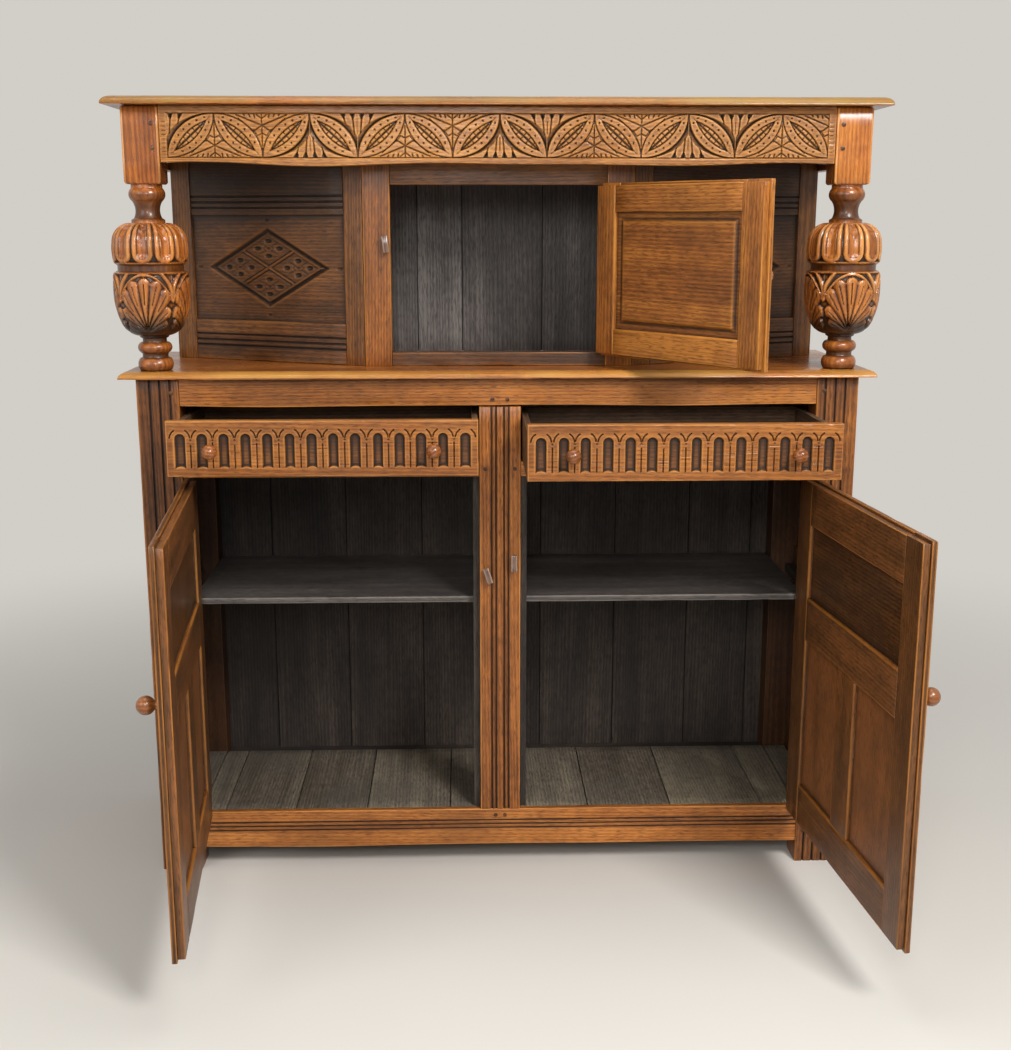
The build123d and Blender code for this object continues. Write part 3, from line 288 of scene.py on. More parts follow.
def squareCorners(width, thickness, grooves=(), radius=None, back=None):
    # a rectangle with grooves (centre, width, depth) in its show face at depth 0
    edge = boardLook["edgeRadius"] if radius is None else radius
    rear = edge * 0.6 if back is None else back
    corners = [(0, 0, edge, 0)]
    for centre, wide, deep in sorted(grooves):
        corners += [
            (centre - wide / 2, 0, 0.7, 0.3),
            (centre - wide * 0.22, deep, 0.3, 1.0),
            (centre + wide * 0.22, deep, 0.3, 1.0),
            (centre + wide / 2, 0, 0.7, 0.3),
        ]
    return corners + [(width, 0, edge, 0), (width, thickness, rear, 0), (0, thickness, rear, 0)]


def boxBoard(low, high, grain="z", show="-y", grooves=(), **settings):
    # a board that fills a box less a hair all round, its grain along one axis and its show face on
    # one side; grooves are measured across the show face from its low edge, along the third axis
    low, high = np.array(low, float) + hair, np.array(high, float) - hair
    run, deep = "xyz".index(grain), "xyz".index(show[1])
    across = 3 - run - deep
    unit, size, origin = np.eye(3), high - low, low.copy()
    inward = unit[deep]
    if show[0] == "+":
        inward, origin[deep] = -inward, high[deep]
    radius, back = settings.pop("radius", None), settings.pop("back", None)
    grooves = [(centre - hair, wide, depth) for centre, wide, depth in grooves]
    corners = squareCorners(size[across], size[deep], grooves, radius, back)
    return boardPart(origin, unit[run], unit[across], inward, size[run], corners, **settings)


def reliefPart(origin, along, up, deep, size, thickness, step, carve, worn=0.35, grainUp=False):
    # a carved board: a grid closed by its sides and back. Depth = what carve(across, height) gives +
    # a quarter circle at the edges + slow waves and knocks; cavity = how far the surface lies under
    # its own average, which darkens it; wear is the same the other way up, and at the edges
    width, height = size
    a, b = np.meshgrid(
        np.linspace(0, width, int(width / step) + 1),
        np.linspace(0, height, int(height / step) + 1),
        indexing="ij",
    )
    seed = next(nextSeed)
    knockSeed, _, toneSeed = (seed + step for step in boardLook["seedSteps"])
    dentLength, knockLength, knockFloor = boardLook["reliefWaves"]
    cut, dirtAndShade = carve(a, b)
    window = max(1, round(boardLook["cavityReach"] / width * (a.shape[0] - 1)))
    cavity = cut - soften(soften(cut, window), window)
    hollow = np.clip(dirtAndShade + np.clip(cavity * boardLook["cavityDirt"], 0, 1), 0, 1)
    toEdge = np.minimum(np.minimum(a, width - a), np.minimum(b, height - b))
    edge = boardLook["edgeRadius"]
    drop = edge - np.sqrt(np.clip(edge**2 - (edge - np.minimum(toEdge, edge)) ** 2, 0, None))
    wear = np.clip(-cavity * worn * 2 + boardLook["edgeWear"] * (toEdge < edge * 1.2), 0, 1)
    plane = np.stack([a, b], -1)
    dents = boardLook["waviness"] * (1 - slowWaves(plane, dentLength, seed)) / 2
    knocks = np.maximum(0, slowWaves(plane, knockLength, knockSeed) - knockFloor)
    knocks *= (toEdge < 2) * boardLook["chips"]
    front = np.stack([a, b, cut + drop + dents + knocks], -1)
    rows, columns = a.shape
    index = np.arange(rows * columns).reshape(rows, columns)
    ring = np.concatenate([index[:-1, 0], index[-1, :-1], index[:0:-1, -1], index[0, :0:-1]])
    flat = front.reshape(-1, 3)
    rear = flat[ring].copy()
    rear[:, 2] = thickness
    local = np.concatenate([flat, rear])
    around = np.arange(len(ring))
    after = (around + 1) % len(ring)
    start = rows * columns
    sides = np.stack([ring[around], start + around, start + after, ring[after]], -1)
    quads = np.concatenate([gridQuads(rows, columns), sides])
    points = origin + local @ np.stack([along, up, deep])
    order = local[:, [1, 0, 2]] if grainUp else local
    wear = np.concatenate([wear.ravel(), np.zeros(len(ring))])
    hollow = np.concatenate([hollow.ravel(), np.zeros(len(ring))])
    tone = np.random.default_rng(toneSeed).uniform(-0.5, 0.5)
    return makePart(points, quads, [start + around], grainPlace(order, seed), wear, hollow, tone)


def panelPart(origin, along, up, deep, size, thickness, hidden, step, grainUp=False, raised=None):
    # a panel held in grooves, each edge hidden so far. Dirt and painted shade along the frame = 0.8
    # e^(-distance / 6 mm) from it; a raised field (margin, rise) is a smooth step up at the margin, with
    # a small bell-shaped groove e^(-distance^2 / 4) and its dirt and painted shade 6 mm outside it
    width, height = size

    def carve(a, b):
        inner = np.minimum(np.minimum(a, width - a), np.minimum(b, height - b)) - hidden
        dirtAndShade = 0.8 * np.exp(-np.clip(inner, 0, None) / 6)
        cut = np.zeros_like(a)
        if raised:
            margin, rise = raised
            toGroove = inner - margin + 6
            cut = rise * (1 - smooth(inner, margin - 5, margin)) + 0.5 * np.exp(-(toGroove**2) / 4)
            dirtAndShade = dirtAndShade + 0.35 * np.exp(-(toGroove**2) / 5)
        return cut, dirtAndShade

    return reliefPart(origin, along, up, deep, size, thickness, step, carve, grainUp=grainUp)


def turnedPart(base, axis, profile, segments, carve=None):
    # a profile of (radius, height) points turned about an axis through base: point = base + radius
    # (cos angle first + sin angle second) + height axis; carve pushes points in along the profile's
    # normal
    side = xAxis if abs(axis[0]) < 0.9 else yAxis
    first = np.cross(axis, side)
    first /= np.linalg.norm(first)
    second = np.cross(axis, first)
    angle = np.linspace(0, 2 * np.pi, segments, endpoint=False)[:, None]
    radius, height = profile[None, :, 0], profile[None, :, 1]
    slope = np.gradient(profile, axis=0)
    slope /= np.maximum(np.linalg.norm(slope, axis=1), 1e-9)[:, None]
    outR, outH = slope[None, :, 1], -slope[None, :, 0]
    wear, hollow = np.zeros((segments, len(profile))), np.zeros((segments, len(profile)))
    if carve:
        cut, hollow = carve(angle, radius, height)
        cavity = cut - soften(soften(cut, 2, True), 2, True)
        hollow = np.clip(hollow + np.clip(cavity * 0.9, 0, 1), 0, 1)
        wear = np.clip(-cavity * 0.8, 0, 1)
        radius, height = radius - cut * outR, height - cut * outH
    r = np.broadcast_to(radius, wear.shape)
    h = np.broadcast_to(height, wear.shape)
    points = (base + r[..., None] * (np.cos(angle)[..., None] * first + np.sin(angle)[..., None] * second)
              + h[..., None] * axis).reshape(-1, 3)
    rows, columns = wear.shape
    ends = [np.arange(rows) * columns, (np.arange(rows) * columns + columns - 1)[::-1]]
    local = np.stack([h, r * np.cos(angle), r * np.sin(angle)], -1).reshape(-1, 3)
    grain = grainPlace(local, next(nextSeed))
    quads = gridQuads(rows, columns, closedRows=True)
    return makePart(points, quads, ends, grain, wear.ravel(), hollow.ravel(), 0.0)


def arcPoints(start, via, end, count):
    # points on the circle through three points: its centre is where the perpendiculars through the
    # middles of the two chords meet
    a, b, c = (np.array(p, float) for p in (start, via, end))
    sides = 2 * np.array([b - a, c - a])
    centre = np.linalg.solve(sides, [b @ b - a @ a, c @ c - a @ a])
    angles = [math.atan2(p[1] - centre[1], p[0] - centre[0]) for p in (a, b, c)]
    first, middle, last = angles
    sweep = (last - first) % (2 * math.pi)
    if (middle - first) % (2 * math.pi) > sweep:
        sweep -= 2 * math.pi
    turn = first + sweep * np.linspace(0, 1, count)
    return centre + np.linalg.norm(a - centre) * np.stack([np.cos(turn), np.sin(turn)], -1)


def evenly(points, spacing):
    # the same path with points at even steps along it: each coordinate is read off against the
    # running sum of the lengths
    steps = np.linalg.norm(np.diff(points, axis=0), axis=1)
    keep = np.concatenate([[True], steps > 1e-6])
    points = points[keep]
    run = np.concatenate([[0], np.cumsum(np.linalg.norm(np.diff(points, axis=0), axis=1))])
    wanted = np.linspace(0, run[-1], int(run[-1] / spacing) + 1)
    return np.stack([np.interp(wanted, run, points[:, k]) for k in (0, 1)], -1)


def lineDistance(a, b, start, end):
    # how far points are from the straight line between two points: t is the share of the way at the
    # foot of the perpendicular, kept between 0 and 1
    along = np.array(end, float) - start
    t = np.clip(((a - start[0]) * along[0] + (b - start[1]) * along[1]) / (along @ along), 0, 1)
    return np.hypot(a - start[0] - t * along[0], b - start[1] - t * along[1])


def vCut(distance, halfWidth, depth):
    # a V-tool's cut: deepest on its line and gone at halfWidth from it
    return depth * np.clip(1 - distance / halfWidth, 0, 1)


# Materials
def linear(hexColour):
    # sRGB to linear light: v / 12.92 at the dark end and ((v + 0.055) / 1.055)^2.4 above it
    values = [int(hexColour[i:i + 2], 16) / 255 for i in (0, 2, 4)]
    return [v / 12.92 if v <= 0.04045 else ((v + 0.055) / 1.055) ** 2.4 for v in values] + [1.0]


def addNode(tree, kind, inputs=None, output=0, stops=(), **settings):
    # adds a node with its settings and gives back one of its outputs; an input is a value or another
    # node's output to link from, and stops are the places and colours of a colour ramp
    made = tree.nodes.new("ShaderNode" + kind)
    for key, value in settings.items():
        setattr(made, key, value)
    for socket, value in (inputs or {}).items():
        if isinstance(value, bpy.types.NodeSocket):
            tree.links.new(value, made.inputs[socket])
        else:
            made.inputs[socket].default_value = value
    for k, (place, colour) in enumerate(stops):
        element = made.color_ramp.elements[k] if k < 2 else made.color_ramp.elements.new(place)
        element.position, element.color = place, colour
    return made.outputs[output] if made.outputs else None


def newMaterial(name):
    # an empty material and its node tree
    material = bpy.data.materials.new(name)
    material.use_nodes = True
    material.node_tree.nodes.clear()
    return material, material.node_tree


black, white = (0, 0, 0, 1), (1, 1, 1, 1)
oakPattern = {
    "bands": (430, 44, 2.0, 0.5),  # broad bands of colour: mm along, mm across, detail, distortion
    "fibre": (110, 4.6, 2.0, 0.0),
    "pores": (15, 1.5, 0.0, 0.0),  # real pores are 0.3 mm wide, drawn coarser so that they show
    "cloud": (26, 17, 2.0, 0.4),  # blotches left by stain and wax
    "ringWidth": 6.5,  # growth rings where they run out of the face, mm
    "polishPatch": 170,  # size of the worn and dull patches in the wax, mm
    "shares": {"bands": 0.62, "fibre": 0.16, "cloud": 0.26},  # how much each adds to the colour
}
# what a finish has where the table says nothing
oakUsual = {"figure": 0.15, "spread": 0.1, "pores": 0.48, "patina": 0.52, "wear": 0.7, "waxAndShade": 0.94,
            "rough": 0.36, "bump": 0.3, "coat": 0.06}


def oak(name, look, grainAxis=None):
    # English oak, planed or carved by hand, stained and waxed for a long time: open-pored, with short
    # dark flecks along the grain, bands of growth rings, black wax in the hollows, arrises rubbed
    # pale, and a low shine that varies from patch to patch. The same black layer that stands for the
    # wax also lays painted shade where a piece's finish asks for it. grainAxis is for CAD nodes, which
    # have no grain of their own to read
    material, tree = newMaterial(name)
    where = addNode(tree, "TexCoord", output="Object")
    turns = {"x": (0, 0, 0), "y": (0, 0, math.pi / 2), "z": (0, math.pi / 2, 0)}
    if grainAxis is None:
        grain = addNode(tree, "Attribute", output="Vector", attribute_name="grain")
    else:
        grain = addNode(tree, "Mapping", {0: where, 2: turns[grainAxis]})
    finish = addNode(tree, "Attribute", output="Vector", attribute_name="finish")
    worn, hollow, tone = (addNode(tree, "SeparateXYZ", {0: finish}, k) for k in range(3))
    noises = {}
    for key in ("bands", "fibre", "pores", "cloud"):
        # noise whose spots are so many millimetres long and wide
        alongMm, acrossMm, detail, distortion = oakPattern[key]
        size = (1000 / alongMm, 1000 / acrossMm, 1000 / acrossMm)
        place = addNode(tree, "Mapping", {0: grain, 3: size})
        inputs = {"Vector": place, "Scale": 1.0, "Detail": detail, "Distortion": distortion}
        noises[key] = addNode(tree, "TexNoise", inputs, "Fac")
    rings = addNode(tree, "TexWave", {
        "Vector": addNode(tree, "Mapping", {0: grain, 3: (0.035, 1, 1)}),
        "Scale": 2 * math.pi / (20 * oakPattern["ringWidth"] * 0.001),
        "Distortion": 9.0,
        "Detail": 1.0,
        "Detail Scale": 0.55,
    }, "Fac", bands_direction="Y")
    shares = oakPattern["shares"]
    # every noise averages a half, so the sum is brought back to a half
    value = 0.5 - (sum(shares.values()) + look["figure"]) / 2
    for part, share in ((tone, look["spread"]), (rings, look["figure"]),
                        *((noises[key], share) for key, share in shares.items())):
        value = addNode(tree, "Math", {0: part, 1: share, 2: value}, operation="MULTIPLY_ADD")
    colour = addNode(tree, "ValToRGB", {0: value}, stops=(
        (0.28, linear(look["dark"])), (0.72, linear(look["light"])), (0.5, linear(look["mid"])),
    ))
    dashes = addNode(tree, "ValToRGB", {0: noises["pores"]}, stops=((0.34, white), (0.43, black)))
    patches = addNode(tree, "TexNoise", {
        "Vector": where, "Scale": 1000 / oakPattern["polishPatch"], "Detail": 3.0,
    }, "Fac")
    dull = addNode(tree, "ValToRGB", {0: patches}, stops=((0.42, black), (0.72, white)))
    rubbed = addNode(tree, "MapRange", {0: patches, 1: 0.35, 2: 0.66, 3: 0.12, 4: look["wear"]})
    # the last layer is the hollow colour: black wax, and painted shade where a piece's finish asks for it
    for mask, strength, key in ((dashes, look["pores"], "pore"), (dull, look["patina"], "patinaColour"),
                                (worn, rubbed, "worn"), (hollow, look["waxAndShade"], "hollow")):
        # each layer is a colour laid over the last; sockets 0, 6 and 7 are the share and two colours
        layer = addNode(tree, "Math", {0: mask, 1: strength}, operation="MULTIPLY", use_clamp=True)
        colour = addNode(tree, "Mix", {0: layer, 6: colour, 7: linear(look[key])}, 2,
                         data_type="RGBA")
    rough = addNode(tree, "MapRange", {
        0: patches, 1: 0.3, 2: 0.7, 3: look["rough"] - 0.07, 4: look["rough"] + 0.1,
    })
    rough = addNode(tree, "Math", {0: layer, 1: 0.22, 2: rough}, operation="MULTIPLY_ADD")
    height = addNode(tree, "Math", {0: dashes, 1: -0.8, 2: noises["fibre"]}, operation="MULTIPLY_ADD")
    bump = addNode(tree, "Bump", {"Height": height, "Strength": look["bump"], "Distance": 0.0008})
    shader = addNode(tree, "BsdfPrincipled", {
        "Base Color": colour, "Roughness": rough, "Normal": bump, "IOR": 1.48,
        "Specular IOR Level": 0.36, "Coat Weight": look["coat"], "Coat Roughness": 0.18,
    })
    addNode(tree, "OutputMaterial", {0: shader})
    return material


# colours of the light, middle and dark wood, the pores, the patina, the worn arrises and what fills
# the hollows, which is the black of the wax and also the colour of painted shade, and then what
# differs from the usual
oakTable = {
    # rails and stile: reddish brown, well rubbed
    "carcase": ("c8803c a26028 6a3a16 371d0b 6a3f1c d8914a 130b05", {}),
    # posts: the same wood, darker with handling
    "post": ("ac6a30 784620 452812 22140a 492b15 c07a38 0f0905", {"rough": 0.34}),
    # frieze: the palest and most golden, its carving picked out in black wax
    "carved": ("c0833e 9e642a 744318 452410 784a27 dea462 150b05",
               {"rough": 0.33, "patina": 0.46, "coat": 0.12}),
    # drawer fronts: golden brown, dark in the niches
    "drawer": ("ae6e31 8a5121 603411 381d0b 623816 d08e49 150c06",
               {"rough": 0.41, "patina": 0.46, "coat": 0.04}),
    # the two tops: polished by dusting, the shiniest flat surfaces
    "top": ("c67a34 9e5824 6c3612 3a1e0c 764016 cb9444 1a0e07", {"rough": 0.26, "coat": 0.22}),
    # recessed cupboard sides: dark, seldom rubbed
    "cupboard": ("8c5929 643d1e 3f2610 22140a 372414 9c6430 0f0905", {}),
    # inner faces of the lower doors: plain and a little dull
    "door": ("8a542c 66401f 432812 241409 3d2818 ba752a 120a06", {}),
    # upper door and its two stiles: clear golden brown
    "upperDoor": ("bc7832 925624 603513 34200f 5c3617 ca862e 150c06", {"rough": 0.34}),
    # turned and carved columns: glossy, with the strongest light and dark
    "turned": ("d08238 a65c24 673410 35200c 6a3c18 f4ac5e 0f0804",
               {"rough": 0.22, "coat": 0.4, "pores": 0.3, "bump": 0.15}),
    # turn-buttons: greyed and shiny with finger grease
    "button": ("8e7260 6b4d3c 412c21 2a1a10 49372e ac9483 140b05", {"rough": 0.18, "coat": 0.5}),
    # inside of the lower stage: unpolished, brown-black
    "interior": ("4e433a 372f29 231e1b 181310 2b2623 594d41 0a0806",
                 {"rough": 0.6, "coat": 0.0, "bump": 0.6}),
    # drawer sides and bottoms: rubbed by the runners, never waxed
    "drawerBox": ("80634a 5f4732 413022 241a12 463627 8a6c50 0c0907",
                  {"rough": 0.55, "coat": 0.0, "bump": 0.5}),
    # knobs: golden brown and shiny from the hand
    "knob": ("be783c 985626 643614 2c180c 6c3f1e dc9c58 120805",
             {"rough": 0.2, "coat": 0.5, "pores": 0.35, "bump": 0.1}),
    # back of the upper cupboard and the shelf: unpolished, gone grey
    "greyInterior": ("7e7771 5e5752 403b37 262220 464240 8a8178 0c0907",
                     {"rough": 0.5, "coat": 0.0, "bump": 0.6}),
    # floor boards: dry and dusty
    "floor": ("958972 74695b 564d41 2f2922 5b564e 94866e 14100c",
              {"rough": 0.5, "coat": 0.0, "bump": 0.6}),
}
oakColours = ("light", "mid", "dark", "pore", "patinaColour", "worn", "hollow")
oakLooks = {name: {**oakUsual, **dict(zip(oakColours, colours.split())), **rest}
            for name, (colours, rest) in oakTable.items()}
# canopy board: the same wood and polish, its worn edge a duller olive-brown
oakLooks["canopy"] = dict(oakLooks["top"], worn="9a7a2e")
dryOaks = ("interior", "drawerBox", "greyInterior", "floor")
oaks = {name: oak(("dryOak-" if name in dryOaks else "waxedOak-") + name, look)
        for name, look in oakLooks.items()}


def forgedIron():
    # hand-forged iron of the hinges: dark scale with a little rust, lumpy and nearly dull
    material, tree = newMaterial("forgedIron")
    where = addNode(tree, "TexCoord", output="Object")
    spots = addNode(tree, "TexNoise", {"Vector": where, "Scale": 1000 / 6, "Detail": 4.0}, "Fac")
    colour = addNode(tree, "ValToRGB", {0: spots}, stops=(
        (0.35, linear("2a2624")), (0.72, linear("5e4030")), (0.55, linear("45403c")),
    ))
    bump = addNode(tree, "Bump", {"Height": spots, "Strength": 0.5, "Distance": 0.0006})
    shader = addNode(tree, "BsdfPrincipled", {
        "Base Color": colour, "Metallic": 0.85, "Roughness": 0.55, "Normal": bump,
    })
    addNode(tree, "OutputMaterial", {0: shader})
    return material


iron = forgedIron()
print("materials made")

# Places shared by several pieces
lowerTop, canopy = span("lower_top"), span("canopy_top")
centreX = (lowerTop[0][0] + lowerTop[1][0]) / 2
topLevel, canopyUnder = lowerTop[1][2], canopy[0][2]
postSpans = {side: span(f"front_{side}_post") for side in ("left", "right")}
rearSpans = {side: span(f"rear_{side}_post") for side in ("left", "right")}
bayLeft, bayRight = postSpans["left"][1][0], postSpans["right"][0][0]
postFace, postBack = postSpans["left"][0][1], postSpans["left"][1][1]
rearFace = rearSpans["left"][0][1]
bottomRail, topRail = span("front_bottom_rail"), span("front_top_rail")
floorLevel, topRailUnder = bottomRail[1][2], topRail[0][2]


def between(box, axis, start, end):
    # the box with its lowest and highest place along one axis put at start and end
    low, high = np.array(box)
    low[axis], high[axis] = start, end
    return low, high


# Posts, rails and the centre stile of the lower stage
reeding = {
    "width": 3.4,
    "depth": 2.6,
    "post": (24, 42, 60),  # from the post's outer edge
    "stile": (-15.5, -7.5, 7.5, 15.5),  # from the centre line
    "bottomRail": (35.5, 43.5, 51.5),  # above the rail's lower edge
}
insideStain = 0.86


def reeds(places):
    # one groove of the usual width and depth with its centre at each place
    return [(place, reeding["width"], reeding["depth"]) for place in places]


def stainInside(part, axis, level, inward):
    # faces towards the inside were never waxed and have gone dark: wherever a point is past the level
    # less 1 mm along the axis, going inward, its hollow value is at least the stain
    past = (part["points"][:, axis] - level) * inward > -1
    part["finish"][:, 1] = np.maximum(part["finish"][:, 1], insideStain * past)
    return part


def lowerFrame():
    # every board fills the box of its CAD node, between the posts where tenons would be hidden; the
    # bottom rail's outline has a step at its back, as deep as the ledge and as high as the floor
    for side, inner, inward, show in (("left", 1, 1, "-x"), ("right", 0, -1, "+x")):
        low, high = postSpans[side]
        places = [p if side == "left" else high[0] - low[0] - p for p in reeding["post"]]
        part = boxBoard(low, high, grooves=reeds(places), radius=2.2)
        makePiece(f"{side}FrontPost", [part], "post", f"front_{side}_post")
        rear = rearSpans[side]
        part = stainInside(boxBoard(*rear, "z", show), 0, rear[inner][0], inward)
        makePiece(f"{side}RearPost", [stainInside(part, 1, rearFace, -1)], "post", f"rear_{side}_post")
    stile = span("centre_stile")
    places = [centreX - stile[0][0] + p for p in reeding["stile"]]
    part = boxBoard(*between(stile, 2, floorLevel, topRailUnder), grooves=reeds(places), radius=2)
    makePiece("centreStile", [part], "carcase", "centre_stile")
    part = boxBoard(*between(topRail, 0, bayLeft, bayRight), "x", edgeWave=(3.2, 520))
    makePiece("frontTopRail", [part], "carcase", "front_top_rail")
    low, high = bottomRail
    floorLow, floorHigh = span("floor_boards")
    height, thick = high[2] - low[2], high[1] - low[1]
    ledge, under = floorLow[1] - low[1] - 0.2, height - (floorHigh[2] - floorLow[2])
    corners = squareCorners(height, thick, reeds(reeding["bottomRail"]))[:-2]
    corners += [(height, ledge, 0.6, 0.5), (under, ledge, 0.3, 1), (under, thick, 1, 0), (0, thick, 1, 0)]
    origin = np.array([bayLeft + hair, low[1], low[2]])
    part = boardPart(origin, xAxis, zAxis, yAxis, bayRight - bayLeft - 2 * hair, corners,
                     edgeWave=(3, 600))
    makePiece("frontBottomRail", [part], "carcase", "front_bottom_rail")
    parts = [boxBoard(*between(span("drawer_rails"), 0, *ends), "x")
             for ends in ((bayLeft, stile[0][0]), (stile[1][0], bayRight))]
    makePiece("drawerRails", parts, "carcase", "drawer_rails")


sideFrame = {"topHeight": 62, "middleLevel": 500, "middleHeight": 60, "bottomHeight": 62,
             "railThick": 26.5, "panelSet": 12, "panelThick": 9, "grooveDepth": 8}


def sideFrames():
    # on each side three rails with two panels between them; a panel is larger than its opening all
    # round by 1 mm less than the depth of the grooves
    s = sideFrame
    low, high = span("side_rails")
    middle, bottom, top = s["middleLevel"], low[2], high[2]
    levels = [(bottom, bottom + s["bottomHeight"]), (middle, middle + s["middleHeight"]),
              (top - s["topHeight"], top)]
    reach = s["grooveDepth"] - 1
    rails, panels = [], []
    for face, post, sign, show in ((low[0], postSpans["left"][0], -1, "-x"),
                                   (high[0], postSpans["right"][1], 1, "+x")):
        inner = face - sign * s["railThick"]
        for z0, z1 in levels:
            box = (min(face, inner), postBack, z0), (max(face, inner), rearFace, z1)
            rails.append(stainInside(boxBoard(*box, "y", show, radius=2.4), 0, inner, -sign))
        edge = post[0] - sign * s["panelSet"]
        for (_, z0), (z1, _) in zip(levels, levels[1:]):
            size = (rearFace - postBack + 2 * reach, z1 - z0 + 2 * reach)
            origin = np.array([edge, postBack - reach, z0 - reach])
            panel = panelPart(origin, yAxis, zAxis, -sign * xAxis, size, s["panelThick"], reach, 5, True)
            panels.append(stainInside(panel, 0, edge - sign * s["panelThick"], -sign))
    makePiece("sideRails", rails, "carcase", "side_rails")
    makePiece("sidePanels", panels, "carcase", "side_panels")


boardSeams = {
    "floor": (-527.6, -393.2, -256, -96.6, 0, 169.5, 330.3, 506.8),  # from the centre line
    "lowerBack": (-469.6, -313.7, -155.1, -30, 94.6, 252.5, 408.6, 540),
    "upperBack": (-480, -318, -157.2, -66.7, 95, 252, 410, 530),
    "gap": 1.6,
    "tongue": (8, 3),  # width and thickness
}


def rowOfBoards(box, seams, grain, show, fronts=None):
    # boards side by side along x, half a gap short of each seam, with a tongue halfway down in each
    # seam, painted black as the shade deep in the seam; fronts is where each board starts towards the
    # front
    low, high = np.array(box)
    parts = []
    for k, (start, end) in enumerate(zip(seams, seams[1:])):
        board = between(box, 0, start + boardSeams["gap"] / 2, end - boardSeams["gap"] / 2)
        if fronts:
            board[0][1] = fronts[k]
        parts.append(boxBoard(*board, grain, show, radius=0.7))
    deep = {"y": 1, "z": 2}[show[1]]
    middle = (low[deep] + high[deep]) / 2
    wide, thick = boardSeams["tongue"]
    for seam in seams[1:-1]:
        tongue = between((low + 0.5, high - 0.5), 0, seam - wide / 2, seam + wide / 2)
        tongue = between(tongue, deep, middle - thick / 2, middle + thick / 2)
        parts.append(boxBoard(*tongue, grain, show, radius=0.3))
        # the tongue is painted black: the shade down in the seam
        parts[-1]["finish"][:, 1] = 1
    return parts


def boards():
    # seams are measured from the centre line; floor boards between the posts and the stile run on
    # over the ledge of the bottom rail, and the three behind posts and stile start at its back
    for name, node, where, finish in (
        ("backBoards", "back_boards", "lowerBack", "interior"),
        ("upperBackBoards", "upper_back_boards", "upperBack", "greyInterior"),
    ):
        low, high = span(node)
        seams = [low[0], *[centreX + s for s in boardSeams[where]], high[0]]
        makePiece(name, rowOfBoards((low, high), seams, "z", "+y"), finish, node)
    low, high = span("floor_boards")
    stileLow, stileHigh = span("centre_stile")
    ledge, behind = low[1], stileHigh[1]
    seams = [low[0], bayLeft, *[centreX + s for s in boardSeams["floor"]], bayRight, high[0]]
    seams[6:7] = [stileLow[0], stileHigh[0]]
    fronts = [behind, *[ledge] * 5, behind, *[ledge] * 4, behind]
    parts = rowOfBoards(between((low, high), 1, behind, rearFace), seams, "y", "+z", fronts)
    makePiece("floorBoards", parts, "floor", "floor_boards")
    part = boxBoard(*between(span("shelf"), 0, bayLeft, bayRight), "x", "+z", radius=2)
    part["finish"][:, 2] -= 1.4  # darker than the boards of the upper back, of the same finish
    makePiece("shelfBoard", [part], "greyInterior", "shelf")


# the front edge is a thumbnail moulding: how far back each corner is set, its share of the thickness
# from the top down and its radius, from the flat top to the thin lip
tops = {
    "thumbnail": ((17, 0, 6), (9, 0.16, 5), (3.5, 0.4, 4), (0.6, 0.72, 2), (0, 0.86, 0.6)),
    "endReach": 17,
    "endDrop": 0.8,
    "seam": (1.6, 1.4),  # width and depth
}


def topBoards():
    # the outline is the moulding, the flat top with the seam of its two boards at a share of the
    # width, and a square back; the ends fall away as far as the moulding is wide
    for name, node, share, finish in (("lowerTop", "lower_top", 0.56, "top"),
                                      ("canopyTop", "canopy_top", 0.48, "canopy")):
        low, high = span(node)
        low, high = low + hair, high - hair
        length, width, thick = high - low
        edge = [(back, down * thick, radius, 0) for back, down, radius in reversed(tops["thumbnail"])]
        square = squareCorners(width, thick, [(width * share, *tops["seam"])], back=2)
        corners = edge + square[1:-1] + [(0, thick, 0.8, 0)]
        origin = np.array([low[0], low[1], high[2]])
        part = boardPart(origin, xAxis, yAxis, -zAxis, length, corners,
                         endRound=(tops["endReach"], thick * tops["endDrop"]), end=0.4)
        makePiece(name, [part], finish, node)


lowerFrame()
sideFrames()
boards()
topBoards()
print("lower stage and tops made")


# Upper stage
upper = {"openingHalf": 195.5, "stileWidth": 50, "headLevel": 1285, "sillRise": 25, "railSet": 1.5}


def upperFront():
    # stiles fill the boxes of their CAD nodes; sill and head fill theirs across the door opening, with
    # their faces set back from the stiles'
    for side in ("left", "right"):
        low, high = span(f"upper_{side}_stile")
        makePiece(f"{side}UpperStile", [boxBoard(low, high)], "upperDoor", f"upper_{side}_stile")
    rails = span("upper_front_rails")
    bottom, top = rails[0][2], rails[1][2]
    rails = between(rails, 0, centreX - upper["openingHalf"], centreX + upper["openingHalf"])
    rails = between(rails, 1, low[1] + upper["railSet"], rails[1][1])
    parts = [boxBoard(*between(rails, 2, *levels), "x")
             for levels in ((bottom, bottom + upper["sillRise"]), (upper["headLevel"], top))]
    makePiece("upperFrontRails", parts, "cupboard", "upper_front_rails")


